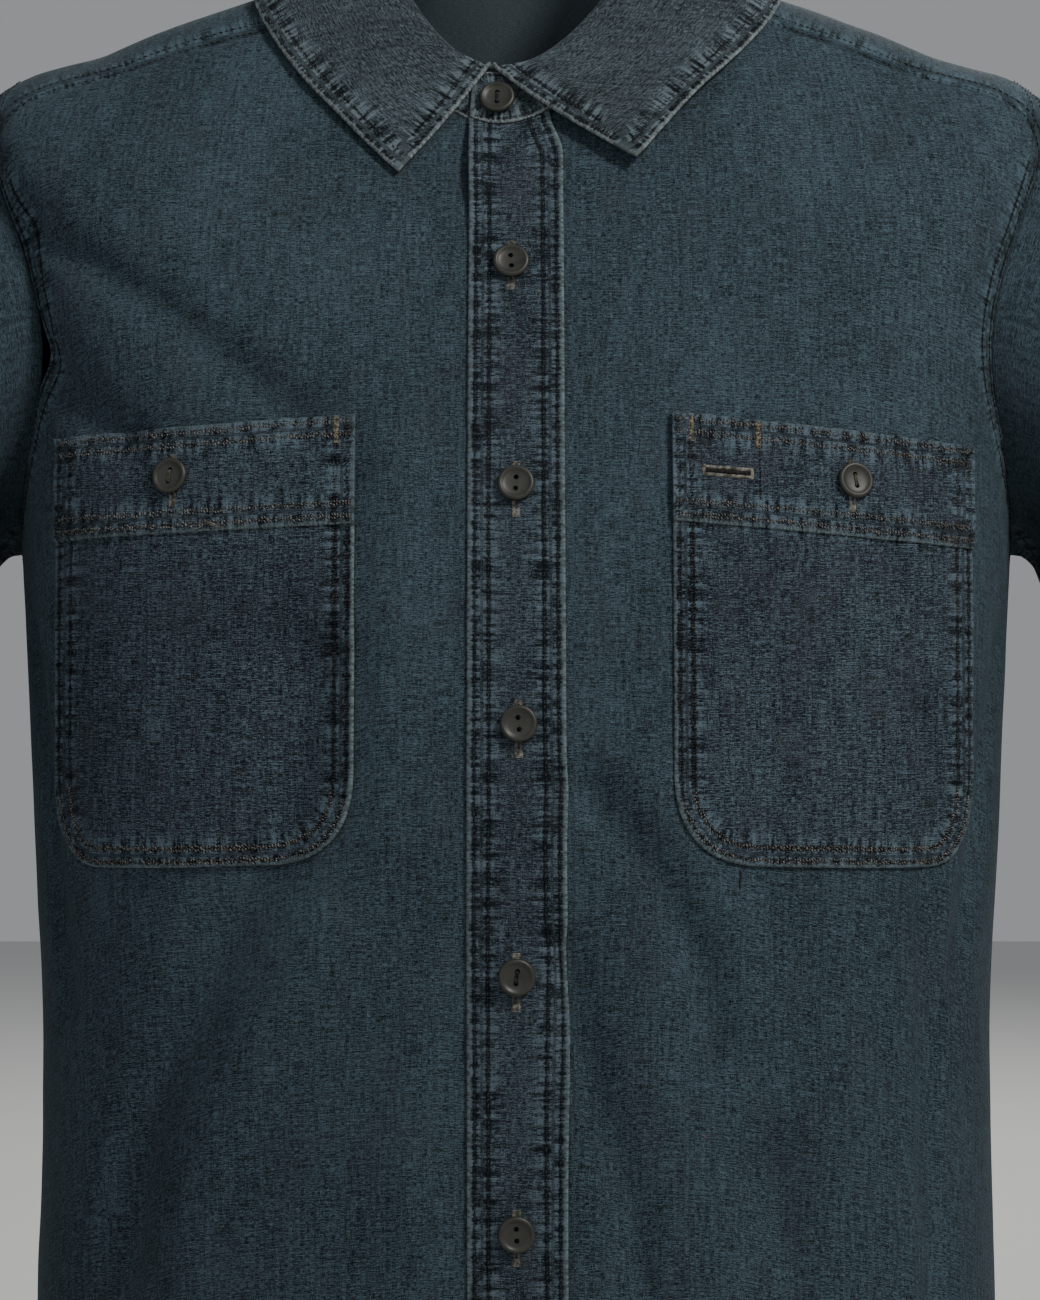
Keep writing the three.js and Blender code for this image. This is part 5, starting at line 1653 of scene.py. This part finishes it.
for z, seed in ((slot_z, 95), (slot_z - SLOT_HEIGHT, 96)):
    slot_bars(buttonholes, (slot_from, z), (slot_to, z - SLOT_FALL), 0.72, 0.4, 0.26, 0.16, seed)
for x, z in ((slot_from + 0.4, slot_z), (slot_to - 0.4, slot_z - SLOT_FALL)):
    slot_bars(buttonholes, (x, z + 0.7), (x, z - SLOT_HEIGHT - 0.7), 0.7, 0.4, 0.24, 0.2, 97)
middle_z = slot_z - SLOT_HEIGHT / 2
slot_bars(slit_threads, (slot_from + 1.2, middle_z), (slot_to - 1.2, middle_z - SLOT_FALL), 0.8, 0.45, 0.26,
          0.2, 98)
x = POCKET_LEFT.inner + DIVIDER + 0.6
top = POCKET_LEFT.top_at(x) - DIVIDER_START
line, line_normals = POCKET_LEFT.line([(x, top), (x, top - DIVIDER_LENGTH)], 1.0)
pocket_stitches.row(line, line_normals, pitch=1.75, length=1.6, radius=0.36)

# A loose end of thread at the lower edge of the right pocket's band
loose_thread = Stitching()
LOOSE_ENDS = (
    ([(126.0, -237.6), (123.4, -236.9), (120.4, -235.4), (118.6, -235.2), (116.3, -236.4), (115.0, -236.6)],
     [0.1, 0.5, 0.9, 1.2, 0.7, 0.2]),
    ([(120.9, -233.6), (119.3, -234.7), (117.2, -235.2), (115.2, -236.2)], [0.3, 1.4, 1.0, 0.4]),
)
for corners, rises in LOOSE_ENDS:
    line, line_normals = POCKET_RIGHT.line(corners, 0.4)
    rise = np.interp(np.linspace(0, 1, len(line)), np.linspace(0, 1, len(rises)), rises)
    loose_thread.strand(line + line_normals * rise[:, None], line_normals[0], 0.19)

# A brown end of thread under the left pocket and a fleck of lint below it
lint = Stitching()
for stitches, corners, radius in (
    (slit_threads, [(85.9, -368.6), (86.1, -371.0), (85.7, -373.2), (85.8, -375.0)], 0.4),
    (lint, [(71.4, -469.8), (71.9, -470.1), (72.4, -470.7)], 0.28),
):
    x, z = np.array(corners).T
    point, normal = POCKET_LEFT.frame(x, z, WALL)
    stitches.strand(point + normal * (WALL + 0.15), normal[0], radius)

for name, stitches, material in (
    ("loose_thread", loose_thread, TAN_THREAD),
    ("lint", lint, LINT),
    ("stitching_body", body_stitches, DARK_THREAD),
    ("stitching_band", band_stitches, DARK_THREAD),
    ("stitching_collar", collar_stitches, DARK_THREAD),
    ("stitching_pockets", pocket_stitches, DARK_THREAD),
    ("stitching_pocket_bands", tan_stitches, BROWN_THREAD),
    ("stitching_bartacks", tack_stitches, TACK_THREAD),
    ("stitching_buttonholes", buttonholes, TAN_THREAD),
    ("stitching_pen_slit", slit_threads, SLIT_THREAD),
    ("stitching_buttons", button_threads, DARK_THREAD),
    ("stitching_pocket_buttons", pocket_button_threads, OLIVE_THREAD),
):
    stitches.build(name, material)

# Floor, light and camera
FLOOR_Z = CAD_BOX[0][2] - 0.012
bpy.ops.mesh.primitive_plane_add(size=9, location=(0, 0, FLOOR_Z))
floor = bpy.context.object
floor.name = "floor"
g = Graph("floor")
g.set("Base Color", (0.62, 0.62, 0.61, 1))
g.set("Roughness", 0.9)
floor.data.materials.append(g.material)

world = bpy.data.worlds.new("studio")
bpy.context.scene.world = world
world.use_nodes = True
world.node_tree.nodes["Background"].inputs["Color"].default_value = (0.86, 0.89, 0.92, 1)
world.node_tree.nodes["Background"].inputs["Strength"].default_value = 0.34


def area_light(name, place, target, size, energy, colour):
    data = bpy.data.lights.new(name, "AREA")
    data.shape = "DISK"
    data.size = size
    data.energy = energy
    data.color = colour
    light = bpy.data.objects.new(name, data)
    bpy.context.scene.collection.objects.link(light)
    light.location = place
    light.rotation_euler = (Vector(target) - Vector(place)).to_track_quat("-Z", "Y").to_euler()


area_light("key", (1.20, -1.20, 1.20), (0.0, -0.1, -0.06), 0.42, 34.5, (1.0, 0.98, 0.95))
area_light("fill", (-1.8, -2.2, 0.7), (0.0, -0.1, -0.20), 1.8, 7, (0.92, 0.95, 1.0))
area_light("rim", (0.6, 2.2, 1.4), (0.0, 0.1, -0.30), 1.4, 38, (1.0, 0.98, 0.95))

camera_data = bpy.data.cameras.new("camera")
camera_data.lens = 108
camera_data.sensor_width = 36
camera = bpy.data.objects.new("camera", camera_data)
bpy.context.scene.collection.objects.link(camera)
camera.location = (0.0015, -1.630, -0.284)
camera.rotation_euler = (rad(90), 0, 0)
bpy.context.scene.camera = camera
